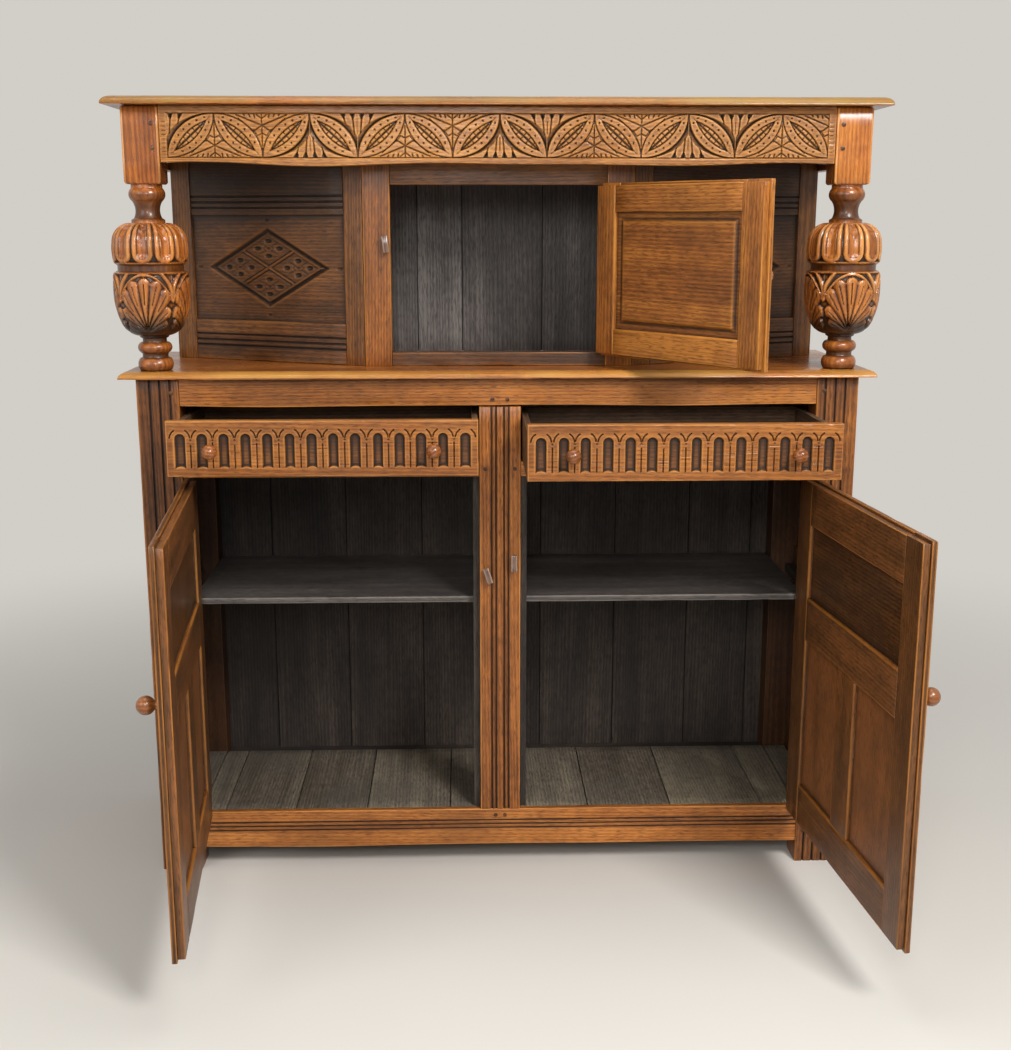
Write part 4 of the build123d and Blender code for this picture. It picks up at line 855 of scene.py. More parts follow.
cant = {
    "outerX": 622, "outerY": 257, "startY": 74,  # the splayed line in plan, from the posts' front face
    "stileWidth": 41, "thick": 22, "postFace": 42.6, "railSet": 1.5, "play": 0.2,
    "bottomRail": 76, "panelHeight": 195, "panelSet": 15, "panelThick": 9, "grooveDepth": 8,
    # the last value is how dark a painted shadow of the canopy lies on the head rails
    "reedStep": 10.4, "reedBelow": 38, "reedAbove": 24, "headRailShadow": 0.62,
}
lozenge = {
    "place": (208, 1136),  # its middle: along the splay, and above the floor
    "half": (137, 75),
    "border": 12,
    "bevelDepth": 4.6, "bevel": (0.62, 0.7, 0.86),  # full, fading and gone, as shares of the border
    "fieldDepth": 1.5, "dirtAndShade": 0.465, "fieldClean": 0.45,
    "rib": (2.2, 1.7), "ribGroove": (1.4, 1.5), "ribHalf": 3.4,
    "holes": ((1, 0), (-1, 0), (0, 1), (0, -1)),  # where, in steps from the middle of a quarter
    "holeStep": (25, 13), "holeHalf": (7.5, 4.6), "holeDepth": 3.4,
    "quarterMiddle": 0.47,  # of p and q
    "petalVein": (1.1, 1.2), "petalEdge": (1.3, 0.9), "flowerHalf": (30, 16), "eyeDepth": 1.6,
    # radii of the eye, the foot of the veins and the ring, as shares of the flower's
    "eyeShare": 0.2, "veinShare": 0.22, "ringShare": 0.34,
    "spots": ((1.13, 0, 7), (-1.13, 0, 7), (0, 1.17, 6), (0, -1.17, 6)),  # place and half width
    "spotHalfHigh": 3, "spotDepth": 1.6,
}


def lozengeDepth(across, up):
    # across and up are from its middle, and p and q run to 1 at its sides. Cut = bevel from the side
    # inwards + sunk field - a rib along p = 0 and q = 0 + V-cuts beside it, with a flower of scooped
    # holes, veins and a round eye in each quarter
    z = lozenge
    halfWide, halfHigh = z["half"]
    scale = halfWide * halfHigh / math.hypot(halfWide, halfHigh)  # mm for 1 of p or q
    p = np.abs(across / halfWide + up / halfHigh)
    q = np.abs(across / halfWide - up / halfHigh)
    inside = (1 - np.maximum(p, q)) * scale
    border = z["border"]
    bevel = plateau(inside / border, 0, *z["bevel"])
    cut = z["bevelDepth"] * bevel + z["fieldDepth"] * smooth(inside, border, border + 2.5)
    field = smooth(inside, border + 1, border + 2)
    toRib = np.minimum(p, q) * scale
    ribHalf, ribHeight = z["rib"]
    flower = vCut(np.abs(toRib - z["ribHalf"]), *z["ribGroove"])
    flower -= ribHeight * np.clip(1 - toRib / ribHalf, 0, 1) ** 0.5
    # side and rise are from the middle of a quarter
    pFrom, qFrom = p - z["quarterMiddle"], q - z["quarterMiddle"]
    side, rise = (pFrom + qFrom) / 2 * halfWide, (pFrom - qFrom) / 2 * halfHigh
    for stepX, stepZ in z["holes"]:
        apart = np.hypot((side - stepX * z["holeStep"][0]) / z["holeHalf"][0],
                         (rise - stepZ * z["holeStep"][1]) / z["holeHalf"][1])
        flower += z["holeDepth"] * dome(apart)
    toVein = np.minimum(np.abs(pFrom), np.abs(qFrom)) * scale
    reach = np.hypot(side / z["flowerHalf"][0], rise / z["flowerHalf"][1])
    flower += vCut(toVein, *z["petalVein"]) * (reach < 1) * (reach > z["veinShare"])
    flower += z["eyeDepth"] * dome(reach / z["eyeShare"])
    flower += vCut(np.abs(reach - z["ringShare"]) * z["flowerHalf"][1], *z["petalEdge"])
    cut += field * flower
    for spotX, spotZ, wide in z["spots"]:
        apart = np.hypot((across - spotX * halfWide) / wide, (up - spotZ * halfHigh) / z["spotHalfHigh"])
        cut += z["spotDepth"] * dome(apart)
    dirtAndShade = z["dirtAndShade"] * smooth(inside, 0, 4) * (1 - z["fieldClean"] * smooth(inside, border, border + 3))
    return cut, dirtAndShade


def cantedSides():
    # set out in plan along the splay, from the door's stiles back to the rear posts: along is the
    # unit vector of that line and inward the one square to it; a rear post's outline has five corners,
    # one where the notch for the rails meets its inner face
    c = cant
    startX = upper["openingHalf"] + upper["stileWidth"]
    run, rise = c["outerX"] - startX, c["outerY"] - c["startY"]
    length = math.hypot(run, rise)
    start, width = c["stileWidth"] + c["play"], length - c["postFace"] - c["stileWidth"] - 2 * c["play"]
    bottomTop = topLevel + c["bottomRail"]
    headUnder = bottomTop + c["panelHeight"]
    mitre = c["thick"] * rise / run
    hidden = c["grooveDepth"] - 1
    size = (width + 2 * hidden, c["panelHeight"] + 2 * hidden)

    def carve(a, b):
        # the lozenge, darker along the frame as dirt and painted shade, and under the canopy a painted
        # shadow of it over the top of the panel
        place = lozenge["place"]
        cut, dirtAndShade = lozengeDepth(a - place[0] + start - hidden, b - place[1] + bottomTop - hidden)
        inner = np.minimum(np.minimum(a, size[0] - a), np.minimum(b, size[1] - b)) - hidden
        # painted shadow of the canopy, darkest at the top of the panel
        shade = 0.4 * smooth(b, size[1] * 0.62, size[1])
        return cut, dirtAndShade + shade + 0.8 * np.exp(-np.clip(inner, 0, None) / 8)

    rails, panels = [], []
    for side, sign in (("left", -1), ("right", 1)):
        along = np.array([sign * run, rise, 0]) / length
        inward = np.array([-sign * rise, run, 0]) / length
        corner = np.array([centreX + sign * startX, postFace + c["startY"], 0])
        corners = [(0.3, 0, 1, 0), (c["stileWidth"], 0, 4.5, 0), (c["stileWidth"], c["thick"], 1, 0),
                   (mitre + 0.3, c["thick"], 1, 0)]
        part = boardPart(corner + zAxis * topLevel, zAxis, along, inward, canopyUnder - topLevel, corners)
        makePiece(f"{side}CantStile", [part], "cupboard", f"cant_{side}_stile")
        for z0, z1, reedMiddle, grimeAndShade in (
            (topLevel, bottomTop, c["bottomRail"] - c["reedBelow"], 0),
            (headUnder, canopyUnder, c["reedAbove"], c["headRailShadow"]),
        ):
            places = [reedMiddle + k * c["reedStep"] for k in (-1, 0, 1)]
            corners = squareCorners(z1 - z0, c["thick"] - c["railSet"], reeds(places), radius=2.6)
            origin = corner + along * start + inward * c["railSet"] + zAxis * z0
            rails.append(boardPart(origin, along, zAxis, inward, width, corners))
            # on the head rail, close under the canopy, the dark layer is a painted shadow of the canopy
            rails[-1]["finish"][:, 1] = np.maximum(rails[-1]["finish"][:, 1], grimeAndShade)
        origin = corner + along * (start - hidden) + zAxis * (bottomTop - hidden)
        origin = origin + inward * (c["panelSet"] - c["panelThick"])
        panels.append(reliefPart(origin, along, zAxis, inward, size, c["panelThick"], 1.42, carve, 0.5))
        low, high = span(f"upper_rear_{side}_post")
        outer, back = c["outerX"], high[1] - postFace
        faceEnd = (outer - c["postFace"] * run / length, c["outerY"] - c["postFace"] * rise / length)
        innerX = outer - (high[0] - low[0])
        notch = faceEnd[1] + (faceEnd[0] - innerX) * run / rise
        plan = [(outer, c["outerY"]), faceEnd, (innerX, notch), (innerX, back), (outer, back)]
        part = boardPart(np.array([centreX, postFace, topLevel]), zAxis, sign * xAxis, yAxis,
                         canopyUnder - topLevel, [(x, y, 1.5, 0) for x, y in plan])
        makePiece(f"{side}UpperRearPost", [part], "cupboard", f"upper_rear_{side}_post")
    makePiece("cantRails", rails, "cupboard", "cant_rails")
    makePiece("lozengePanels", panels, "cupboard", "cant_panels")


sideFrieze = {"thick": 24, "startY": 54}  # startY from the posts' front face


def sideFriezes():
    # one plain board on each side, from the block of the column to the back
    low, high = span("side_frieze_rails")
    box = between((low, high), 1, postFace + sideFrieze["startY"], high[1])
    parts = [boxBoard(*between(box, 0, low[0], low[0] + sideFrieze["thick"]), "y", "-x"),
             boxBoard(*between(box, 0, high[0] - sideFrieze["thick"], high[0]), "y", "+x")]
    makePiece("sideFriezeRails", parts, "carcase", "side_frieze_rails")


upperFront()
cantedSides()
sideFriezes()
print("upper cupboard made")


# The carved front frieze: a chain of crossing arches whose overlaps are pointed leaves
frieze = {
    "halfPitch": 81.6, "low": 13.4, "rise": 73.6,  # between the middles of two arches, foot, height
    "halfLength": 571.2, "railHalf": 583.6, "ground": 0.5, "deepest": 6.0,
    # V-cuts: half width and depth
    "outline": (1.6, 3.2), "rim": (1.7, 3.2), "rung": (1.5, 2.4), "spine": (2.7, 3.4),
    "tipVein": (1.0, 1.4), "fingerSeam": (1.7, 2.8), "fanVein": (1.0, 1.6), "budSpine": (1.5, 2.8),
    "budFoot": (1.6, 2.6), "border": (1.5, 2.0), "tick": (1.1, 1.2),
    "slotHalf": (36.5, 7.8), "slotDepth": 0.7, "rungPitch": 11, "leafHalf": (54, 22.5),
    "dotPitch": 13.4, "dotFrom": 1.5, "dotRadius": 1.9, "dotDepth": 2.4,
    "scoopWide": 7.6, "scoopDepth": 4.8, "finger": 16.5, "fanHeight": 74, "tipDepth": 3.0,
    # a bud's strokes: start and end from the middle of its foot, and half width
    "budStrokes": (
        ((0, 20), (13.5, 29), 1.75), ((13.5, 29), (8, 37), 1.5), ((8, 37), (0, 33), 1.5),
        ((0, 20), (43, 2.5), 1.75), ((13.5, 29), (23, 24), 1.625), ((23, 24), (40, 8), 1.375),
        ((0, 9), (9, 2), 1.5), ((13, 1), (12, 6.5), 1.75), ((22, 1), (20, 5.5), 1.75),
        ((31, 1), (29, 4), 1.625),
    ),
    "strokeDepth": 2.9, "budEye": (14.2, 29), "eyeRadius": 2.9, "eyeDepth": 2.6,
    "tickPitch": 7, "tickFrom": 2.5, "tickPlace": 576, "tickHalf": 4,
}


def leafDepth(run, aside):
    # run is along a leaf and aside across it, from its middle. The slot's edge and the leaf's edge are
    # parabolas, half width times 1 - (run / half length)^2; the slot holds rungs on each side of a
    # spine, and dots lie halfway between the two edges
    f = frieze
    slotLong, slotWide = f["slotHalf"]
    leafLong, leafWide = f["leafHalf"]
    edge = slotWide * (1 - np.clip(run / slotLong, -1, 1) ** 2)
    slot = (aside < edge) & (np.abs(run) < slotLong)
    cut = vCut(np.where(np.abs(run) < slotLong + 1, np.abs(aside - edge), 9), *f["rim"])
    rung = np.abs(toNearest(run, f["rungPitch"]))
    cut += slot * (f["slotDepth"] + np.maximum(vCut(rung, *f["rung"]), vCut(aside, *f["spine"])))
    cut += vCut(aside, *f["tipVein"]) * (np.abs(run) > slotLong) * (np.abs(run) < slotLong + 9)
    dotLine = (edge + leafWide * (1 - np.clip(run / leafLong, -1, 1) ** 2)) / 2
    dots = np.hypot(toNearest(run - f["dotFrom"], f["dotPitch"]), aside - dotLine) / f["dotRadius"]
    return cut + f["dotDepth"] * dome(dots) * (np.abs(run) < 40)


def fanDepth(side, rise, gap):
    # side and rise are from the middle of a triangle's foot and gap is mm from the nearest leaf. A
    # crescent scoop lies along each leaf; the rest is fingers that grow narrower as
    # (1 - rise / height)^(3/4), with V-cuts between them and a vein in the middle one
    f = frieze
    wide = f["scoopWide"] * smooth(f["rise"] - rise, 4, 32) * smooth(rise, -8, 24) + 0.6
    scoop = np.clip(1 - gap / wide, 0, 1) ** 0.8 * f["scoopDepth"]
    spread = f["finger"] * np.clip(1 - rise / f["fanHeight"], 0.02, 1) ** 0.75
    finger = side / spread
    seam = np.abs(finger % 1 - 0.5) * spread
    cut = scoop * (side > 1)
    cut += vCut(seam, *f["fingerSeam"]) * (gap > wide - 2) * (finger < 1.8) * (rise < 46)
    cut += f["tipDepth"] * (seam < np.clip(12 - rise, 0, 12) * 0.4) * (finger < 2)
    return cut + vCut(side, *f["fanVein"]) * (rise > 12) * (rise < 34), scoop


def budDepth(side, rise):
    # the deepest of a spine, a foot line, the strokes of one half, mirrored, and a round eye
    f = frieze
    cut = np.maximum(vCut(side, *f["budSpine"]) * (rise < 62), vCut(rise, *f["budFoot"]))
    for start, end, wide in f["budStrokes"]:
        cut = np.maximum(cut, vCut(lineDistance(side, rise, start, end), wide, f["strokeDepth"]))
    eye = np.hypot(side - f["budEye"][0], rise - f["budEye"][1]) / f["eyeRadius"]
    return np.maximum(cut, f["eyeDepth"] * dome(eye))


def friezeDepth(x, height):
    # arches are circles of radius 1 in half pitches across and rises up, with their centres on the
    # lower line at even numbers and on the upper line at odd ones. A leaf is where a low and a high
    # circle overlap; the triangles between are two fans, two buds, two fans and so on
    f = frieze
    across, up = x / f["halfPitch"], (height - f["low"]) / f["rise"]
    lowCentre = 2 * np.round(across / 2)
    highCentre = 2 * np.round((across - 1) / 2) + 1
    lowRadius = np.hypot(across - lowCentre, up)
    highRadius = np.hypot(across - highCentre, 1 - up)
    inner = np.minimum(1 - lowRadius, 1 - highRadius) * (f["halfPitch"] + f["rise"]) / 2  # mm into a leaf
    inLeaf = inner > 0
    turn = np.where(highCentre > lowCentre, 1.0, -1.0)
    leafX = (across - (lowCentre + highCentre) / 2) * f["halfPitch"] * turn
    leafZ = (up - 0.5) * f["rise"]
    length = math.hypot(f["halfPitch"], f["rise"])
    run = (leafX * f["halfPitch"] - leafZ * f["rise"]) / length
    aside = np.abs(leafX * f["rise"] + leafZ * f["halfPitch"]) / length
    fromLow = lowRadius < highRadius
    centre = np.where(fromLow, lowCentre, highCentre)
    side = np.abs(across - centre) * f["halfPitch"]
    rise = np.where(fromLow, up, 1 - up) * f["rise"]
    isFan = np.isin(np.clip(centre + 7, 0, 14) % 4, (0, 3))
    fan, scoop = fanDepth(side, rise, -inner)
    triangle = np.where(isFan, fan, budDepth(side, rise))
    cut = vCut(np.abs(inner), *f["outline"]) + np.where(inLeaf, leafDepth(run, aside), triangle)
    # deep narrow cuts hold black wax; the wide scoops get a grey film of wax and painted shade, darker
    # where the scoop is deeper
    inScoop = ~inLeaf & isFan & (scoop > 0.3)
    dirtAndShade = np.where(inScoop, 0.32 + 0.5 * scoop / f["scoopDepth"], 0.8 * smooth(cut, 1.3, 3.0))
    # plain bands above and below, and short ticks past the last arch
    inLength = np.abs(x) < f["halfLength"]
    field = (up > 0) & (up < 1) & inLength
    cut = np.where(field, cut + f["ground"], 0)
    toBorder = np.minimum(np.abs(up), np.abs(up - 1)) * f["rise"]
    cut = np.maximum(cut, vCut(toBorder, *f["border"]) * inLength)
    ticks = vCut(np.abs(toNearest(height - f["tickFrom"], f["tickPitch"])), *f["tick"])
    ticks *= (np.abs(np.abs(x) - f["tickPlace"]) < f["tickHalf"]) * (up > 0.1) * (up < 0.85)
    return np.minimum(cut + ticks, f["deepest"]), dirtAndShade * field


def frontFrieze():
    # a relief board between the columns' blocks; its lower edge sags up and down by slow waves that
    # fade out within 14 mm
    low, high = span("front_frieze_rail")
    half = frieze["railHalf"]
    origin = np.array([centreX - half, low[1], low[2] + hair])
    size = (2 * half, high[2] - low[2] - 2 * hair)
    part = reliefPart(origin, xAxis, zAxis, yAxis, size, high[1] - low[1] - 2 * hair, 1.12,
                      lambda a, b: friezeDepth(a - half, b), 0.45)
    lower = part["points"][:, 2] - low[2]
    sag = 2.9 * (slowWaves(part["points"][:, :1], 420, 77) + 1) * np.clip(1 - lower / 14, 0, 1)
    part["points"][:, 2] += sag
    makePiece("carvedFrieze", [part], "carved", "front_frieze_rail")


frontFrieze()
print("frieze carved")


# Columns: a turned cup and cover, the cup carved with four leaf fans and the cover with flutes
column = {
    "segments": 270, "spacing": 1.6,
    "fans": 4, "flutes": 10,
    "reach": 64.0,  # radius at which an arc of the cup is measured
    "fanFoot": (86, -14), "depth": 4.6, "bow": 7.0,
    "lobes": ((0, 93, 7.8), (15.5, 91, 8.0), (32, 83, 9.5), (53, 60, 11.5), (79, 45, 13.5)),
    "lobeSlit": (1.3, 2.0), "lobeRound": 0.45, "archTop": 84, "archDrop": 44, "archPower": 2.2,
    "bandHalf": 3.0, "stemHalf": 4.6, "stemFrom": 30, "stemBend": 0.012, "stemFork": 46,
    "gapVein": (1.2, 1.6), "leastRadius": 34,
    "cupZone": (66, 80, 170.5, 172.5), "coverZone": (189, 191, 255, 258.5),
    "fluteFoot": 206, "fluteHalf": 0.44, "rimWide": 0.49,  # shares of half a flute's pitch
    "scoop": 4.4, "ground": 3.8, "fluteSlit": (1.3, 1.6), "scallop": 1.8,
    # dirt and painted shade: painted shade in the necks and gaps, on the lower halves of the rings and
    # under the cup's bowl, with wax in the necks; share, and the heights where it starts, is full, begins
    # to fade and is gone
    "dirtAndShade": (
        (0.7, -2, -1, 0, 4), (0.45, -2, -1, 6, 13), (0.85, 20, 24, 30, 34), (0.45, 31, 33, 37, 43),
        (0.85, 48, 52, 60, 66), (0.92, 58, 63, 74, 108), (0.75, 172, 176, 187, 190),
        (0.8, 258, 266, 284, 300), (0.5, 284, 300, 306, 312),
    ),
    "blockHalf": 32, "blockLevel": 323,
}


def columnOutline():
    # radius and height above the top, lines and three-point arcs joined end to end
    stretches = [
        [(0.5, 0), (27, 0)],
        arcPoints((27, 0), (31, 11), (27, 22), 14),
        [(27, 22), (22.5, 23.8), (22.5, 30), (25, 32)],
        arcPoints((25, 32), (30, 41), (25, 50), 14),
        [(25, 50), (21, 51), (21, 57), (25, 59), (26, 62)],
        arcPoints((26, 62), (43.5, 69.1), (54, 82), 16),
        arcPoints((54, 82), (63.5, 110.1), (66.5, 139.9), 30),
        arcPoints((66.5, 139.9), (66.3, 156), (65, 172.2), 14),
        [(65, 172.2), (57, 176), (57, 185), (63.3, 189.5)],
        arcPoints((63.3, 189.5), (66.3, 205.8), (65.5, 225), 20),
        arcPoints((65.5, 225), (58.8, 244.5), (29, 258), 30),
        [(29, 258), (29, 263), (24, 266)],
        arcPoints((24, 266), (21, 280), (26, 295), 16),
        arcPoints((26, 295), (31.5, 306), (27, 317), 14),
        [(27, 317), (27, 323.5), (0.5, 323.5)],
    ]
    return evenly(np.concatenate([np.array(s, float) for s in stretches]), column["spacing"])


def fanRelief(p, q, half):
    # depth of the cup's carving; p is round the cup from the middle of a fan and q up from its foot
    # level. A lobe runs along s, with t across it: its half width grows as s tan(angle) and ends in a
    # circle, and its height is (1 - (t / half width)^2)^round. An arch closes the fan, and a forked
    # stem stands in the gap between two arches
    c = column
    best, slit = np.zeros_like(p), np.zeros_like(p)
    up = q - c["fanFoot"][1]
    for degreesOut, reach, halfAngle in c["lobes"]:
        widening = math.tan(math.radians(halfAngle))
        tipRadius = reach * widening * 0.95
        for sign in (1, -1) if degreesOut else (1,):
            way = math.radians(degreesOut) * sign
            bow = c["bow"] * degreesOut / c["lobes"][-1][0] * sign
            s = p * math.sin(way) + up * math.cos(way)
            t = p * math.cos(way) - up * math.sin(way) + bow * (s / reach) ** 2 - bow * 0.4
            past = s - (reach - tipRadius)
            tip = np.sqrt(np.clip(tipRadius**2 - past**2, 0, None))
            wide = np.maximum(np.where(past > 0, tip, s * widening), 1e-3)
            rise = np.clip(1 - (t / wide) ** 2, 0, 1) ** c["lobeRound"] * (s > 4)
            best = np.maximum(best, rise)
            inLobe = (s > reach * 0.5) * (s < reach * 0.88) * (rise > 0)
            slit = np.maximum(slit, vCut(np.abs(t), *c["lobeSlit"]) * inLobe)
    arch = c["archTop"] - c["archDrop"] * (np.abs(p) / half) ** c["archPower"]
    below = smooth(arch - q, 1, 4)
    cut = c["depth"] * (1 - best * below) + slit * below
    cut = np.minimum(cut, c["depth"] * (1 - dome((arch - q) / c["bandHalf"])))
    toGap = half - np.abs(p)
    fork = c["stemBend"] * np.clip(q - c["stemFork"], 0, None) ** 2
    stem = dome((toGap - fork) / c["stemHalf"]) * (q > c["stemFrom"])
    cut = np.minimum(cut, c["depth"] * (1 - stem * (q > arch - 6)))
    return cut + vCut(toGap, *c["gapVein"]) * (q > 40)


def fluteRelief(angle, radius, height):
    # depth of the cover's carving and how far a point is outside a flute. A flute is a scooped channel
    # closed at its foot by a half circle, with a rim that is half round in section
    c = column
    turn = 2 * np.pi / c["flutes"]
    roundOff = np.maximum(radius, c["leastRadius"])
    sideways = np.abs(toNearest(angle, turn) * roundOff)
    quarter = turn / 2 * roundOff
    wide, rim = quarter * c["fluteHalf"], quarter * c["rimWide"]
    outside = np.hypot(sideways, np.clip(c["fluteFoot"] - height, 0, None)) - wide
    scoop = 1.0 + c["scoop"] * np.clip(-outside / wide, 0, 1) ** 0.5
    ridge = dome((outside - rim / 2) / (rim / 2))
    cut = np.where(outside < 0, scoop, c["ground"] * (1 - ridge) + 0.2)
    cut = cut + vCut(quarter - sideways, *c["fluteSlit"]) * (height > c["fluteFoot"] - 6)
    return cut + c["scallop"] * (outside > rim) * (height < c["fluteFoot"] - 3), outside, rim


def columnDepth(angle, radius, height):
    # cut = fans in the cup's zone + flutes in the cover's; dirt and painted shade = the zones of the
    # table, more in the deep of the fans and round the flutes, as wax and painted shade there, and less
    # in the flutes, which are kept pale as a painted sheen in their glossy hollows
    c = column
    sector = 2 * np.pi / c["fans"]
    p, q = np.broadcast_arrays(toNearest(angle, sector) * c["reach"], height - c["fanFoot"][0])
    fans = fanRelief(p, q, sector / 2 * c["reach"])
    flutes, outside, rim = fluteRelief(angle, radius, height)
    cup, cover = plateau(height, *c["cupZone"]), plateau(height, *c["coverZone"])
    dirtAndShade = sum(share * plateau(height, *zone) for share, *zone in c["dirtAndShade"])
    dirtAndShade = dirtAndShade + cup * (0.08 + 0.3 * smooth(fans, 1.6, 4.2))
    # grime round the flutes is wax and painted shade; rubbed here is no wear but keeps the flutes pale, a
    # painted sheen
    grimeAndShade, rubbed = smooth(outside, rim * 0.82, rim * 1.1), smooth(-outside, 0.5, 2.5)
    dirtAndShade = dirtAndShade + cover * (0.7 * grimeAndShade - 0.5 * rubbed)
    return fans * cup + flutes * cover, dirtAndShade


def turnedColumns():
    # the outline turned and carved, with a square block on it that reaches up to the canopy
    outline = columnOutline()
    half = column["blockHalf"]
    for side in ("left", "right"):
        low, high = span(f"{side}_column")
        x, y = ((low + high) / 2)[:2]
        turned = turnedPart(np.array([x, y, topLevel]), zAxis, outline, column["segments"], columnDepth)
        block = boxBoard((x - half, y - half, topLevel + column["blockLevel"]),
                         (x + half, y + half, canopyUnder), radius=3, back=3, end=4)
        makePiece(f"{side}Column", [turned, block], "turned", f"{side}_column")


turnedColumns()
print("columns turned and carved")


def jointPlace(name):
    # where a joint's axis stands, in millimetres
    return np.array(next(j for j in frame["joints"] if j["name"] == name)["pos_m"]) * 1000


# Knobs: a small flange, a waisted stem and a flattened ball with a ring cut round its crown
knobLook = {
    "doorRadius": 15, "drawerRadius": 13, "stem": 9, "spigot": 11, "spigotShare": 0.34, "segments": 28,
}


def knobPart(base, outward, radius):
    # turned about outward: radii are shares of the knob's, and heights go up to the end of the stem
    # in millimetres and on from there in shares of the radius, to a crown at 1.75
    stem, spigot = knobLook["stem"], radius * knobLook["spigotShare"]
    foot = [(0.4, -knobLook["spigot"]), (spigot, -knobLook["spigot"]), (spigot, 0.2), (radius * 0.6, 0.2),
            (radius * 0.62, 2), (radius * 0.44, 3.6), (radius * 0.4, 5.5), (radius * 0.5, stem - 1)]
    ball = arcPoints((radius * 0.6, stem), (radius * 0.98, stem + radius * 0.78),
                     (radius * 0.74, stem + radius * 1.42), 12)
    crown = arcPoints((radius * 0.7, stem + radius * 1.44), (radius * 0.42, stem + radius * 1.66),
                      (0.4, stem + radius * 1.75), 7)
    profile = np.concatenate([foot, ball, crown])
    return turnedPart(base, outward, profile, knobLook["segments"])


# Doors: framed leaves with a lip round the outer face, set out from their hinges
lowerDoor = {"span": 533.25, "body": (118.5, 765.5), "stile": 62, "rail": 76, "midRail": 80,
             "upperPanel": 134, "muntin": 76, "knob": (30, 520.5, knobLook["doorRadius"])}
doors = {
    "left": {"bearing": -84.4, "inward": 1, **lowerDoor},
    "right": {"bearing": 275.6, "inward": -1, **lowerDoor},
    "upper": {"bearing": 307.0, "inward": -1, "span": 388.25, "body": (987.5, 1283.5), "stile": 46,
              "rail": 46, "knob": (26, 1135.5, knobLook["drawerRadius"])},
}
leaf = {"edge": 1.65, "face": 4, "lipBack": 13, "back": 25, "lap": 4.5, "panelThick": 8, "groove": 7,
        "chamfer": 3, "field": (18, 3), "railPanelTone": -1.6, "stilePanelTone": 1.7}


def doorLeaf(side):
    # a point of the leaf is the foot of the hinge axis + x along the leaf + y inward + z up; the
    # bearing is the angle from the x axis at which the leaf stands open at rest. Frame members come
    # in two layers, and panels stand halfway through the frame
    d = doors[side]
    axis = jointPlace(f"{side}_door_hinge")
    turn = math.radians(d["bearing"])
    along = np.array([math.cos(turn), math.sin(turn), 0])
    inward = d["inward"] * np.array([-math.sin(turn), math.cos(turn), 0])
    foot = np.array([axis[0], axis[1], 0])
    low, high = d["body"]
    edge, end, stile, rail = leaf["edge"], d["span"], d["stile"], d["rail"]
    inner = (edge + stile, end - stile)
    parts, panels = [], []

    def member(x, z, upright=False, lips=(), worn=(False, True)):
        # one board of the frame: the outer layer is wider by the lap at the lipped sides, and worn
        # says which of the two long edges on the inner face are chamfered
        for start, back, lap in ((leaf["face"], leaf["lipBack"], leaf["lap"]),
                                 (leaf["lipBack"], leaf["back"], 0)):
            outer = start == leaf["face"]
            left, right, bottom, top = (lap * (way in lips) for way in ("left", "right", "bottom", "top"))
            x0, x1, z0, z1 = x[0] - left, x[1] + right, z[0] - bottom, z[1] + top
            sizes = (x1 - x0 - 2 * hair, z1 - z0 - 2 * hair)
            width, length = sizes if upright else sizes[::-1]
            radius = 1.8 if outer else 0.4
            cuts = [leaf["chamfer"] if w and not outer else 1.2 for w in worn]
            corners = [(0, 0, radius, 0), (width, 0, radius, 0), (width, back - start, cuts[1], 0),
                       (0, back - start, cuts[0], 0)]
            origin = foot + along * (x0 + hair) + inward * start + zAxis * (z0 + hair)
            axes = (zAxis, along) if upright else (along, zAxis)
            parts.append(boardPart(origin, *axes, inward, length, corners))

    def panel(x, z, raised=None, upright=True, tone=0.0):
        # larger than its opening by the groove's depth, its show face towards the inside
        reach = leaf["groove"]
        thick = leaf["panelThick"] + (raised[1] if raised else 0)
        size = (x[1] - x[0] + 2 * reach, z[1] - z[0] + 2 * reach)
        deep = (leaf["face"] + leaf["back"] - leaf["panelThick"]) / 2 + thick
        origin = foot + along * (x[0] - reach) + inward * deep + zAxis * (z[0] - reach)
        step = 3 if raised else 5
        panels.append(panelPart(origin, along, zAxis, -inward, size, thick, reach, step, upright, raised))
        panels[-1]["finish"][:, 2] += tone

    member((edge, inner[0]), (low, high), True, ("bottom", "top"))
    member((inner[1], end), (low, high), True, ("bottom", "top", "right"), (False, False))
    member(inner, (low, low + rail), lips=("bottom",))
    member(inner, (high - rail, high), lips=("top",), worn=(False, False))
    if side == "upper":
        panel(inner, (low + rail, high - rail), leaf["field"], False)
    else:
        midTop = high - rail - d["upperPanel"]
        midLow = midTop - d["midRail"]
        member(inner, (midLow, midTop))
        muntin = [(edge + end + way * d["muntin"]) / 2 for way in (-1, 1)]
        member(muntin, (low + rail, midLow), True, worn=(True, True))
        panel(inner, (midTop, high - rail), upright=False, tone=leaf["railPanelTone"])
        for x in ((inner[0], muntin[0]), (muntin[1], inner[1])):
            panel(x, (low + rail, midLow), tone=leaf["stilePanelTone"])
    finish, panelNode = ("upperDoor", "panel") if side == "upper" else ("door", "panels")
    body = f"{side}_door"
    makePiece(f"{side}DoorFrame", parts, finish, f"{body}_frame", body)
    makePiece(f"{side}DoorPanels", panels, finish, f"{body}_{panelNode}", body)
    back, level, radius = d["knob"]
    knob = knobPart(foot + along * (end - back) + inward * leaf["face"] + zAxis * level, -inward, radius)
    makePiece(f"{side}DoorKnob", [knob], "knob", f"{body}_knob", body)


for side in doors:
    doorLeaf(side)
print("doors made")


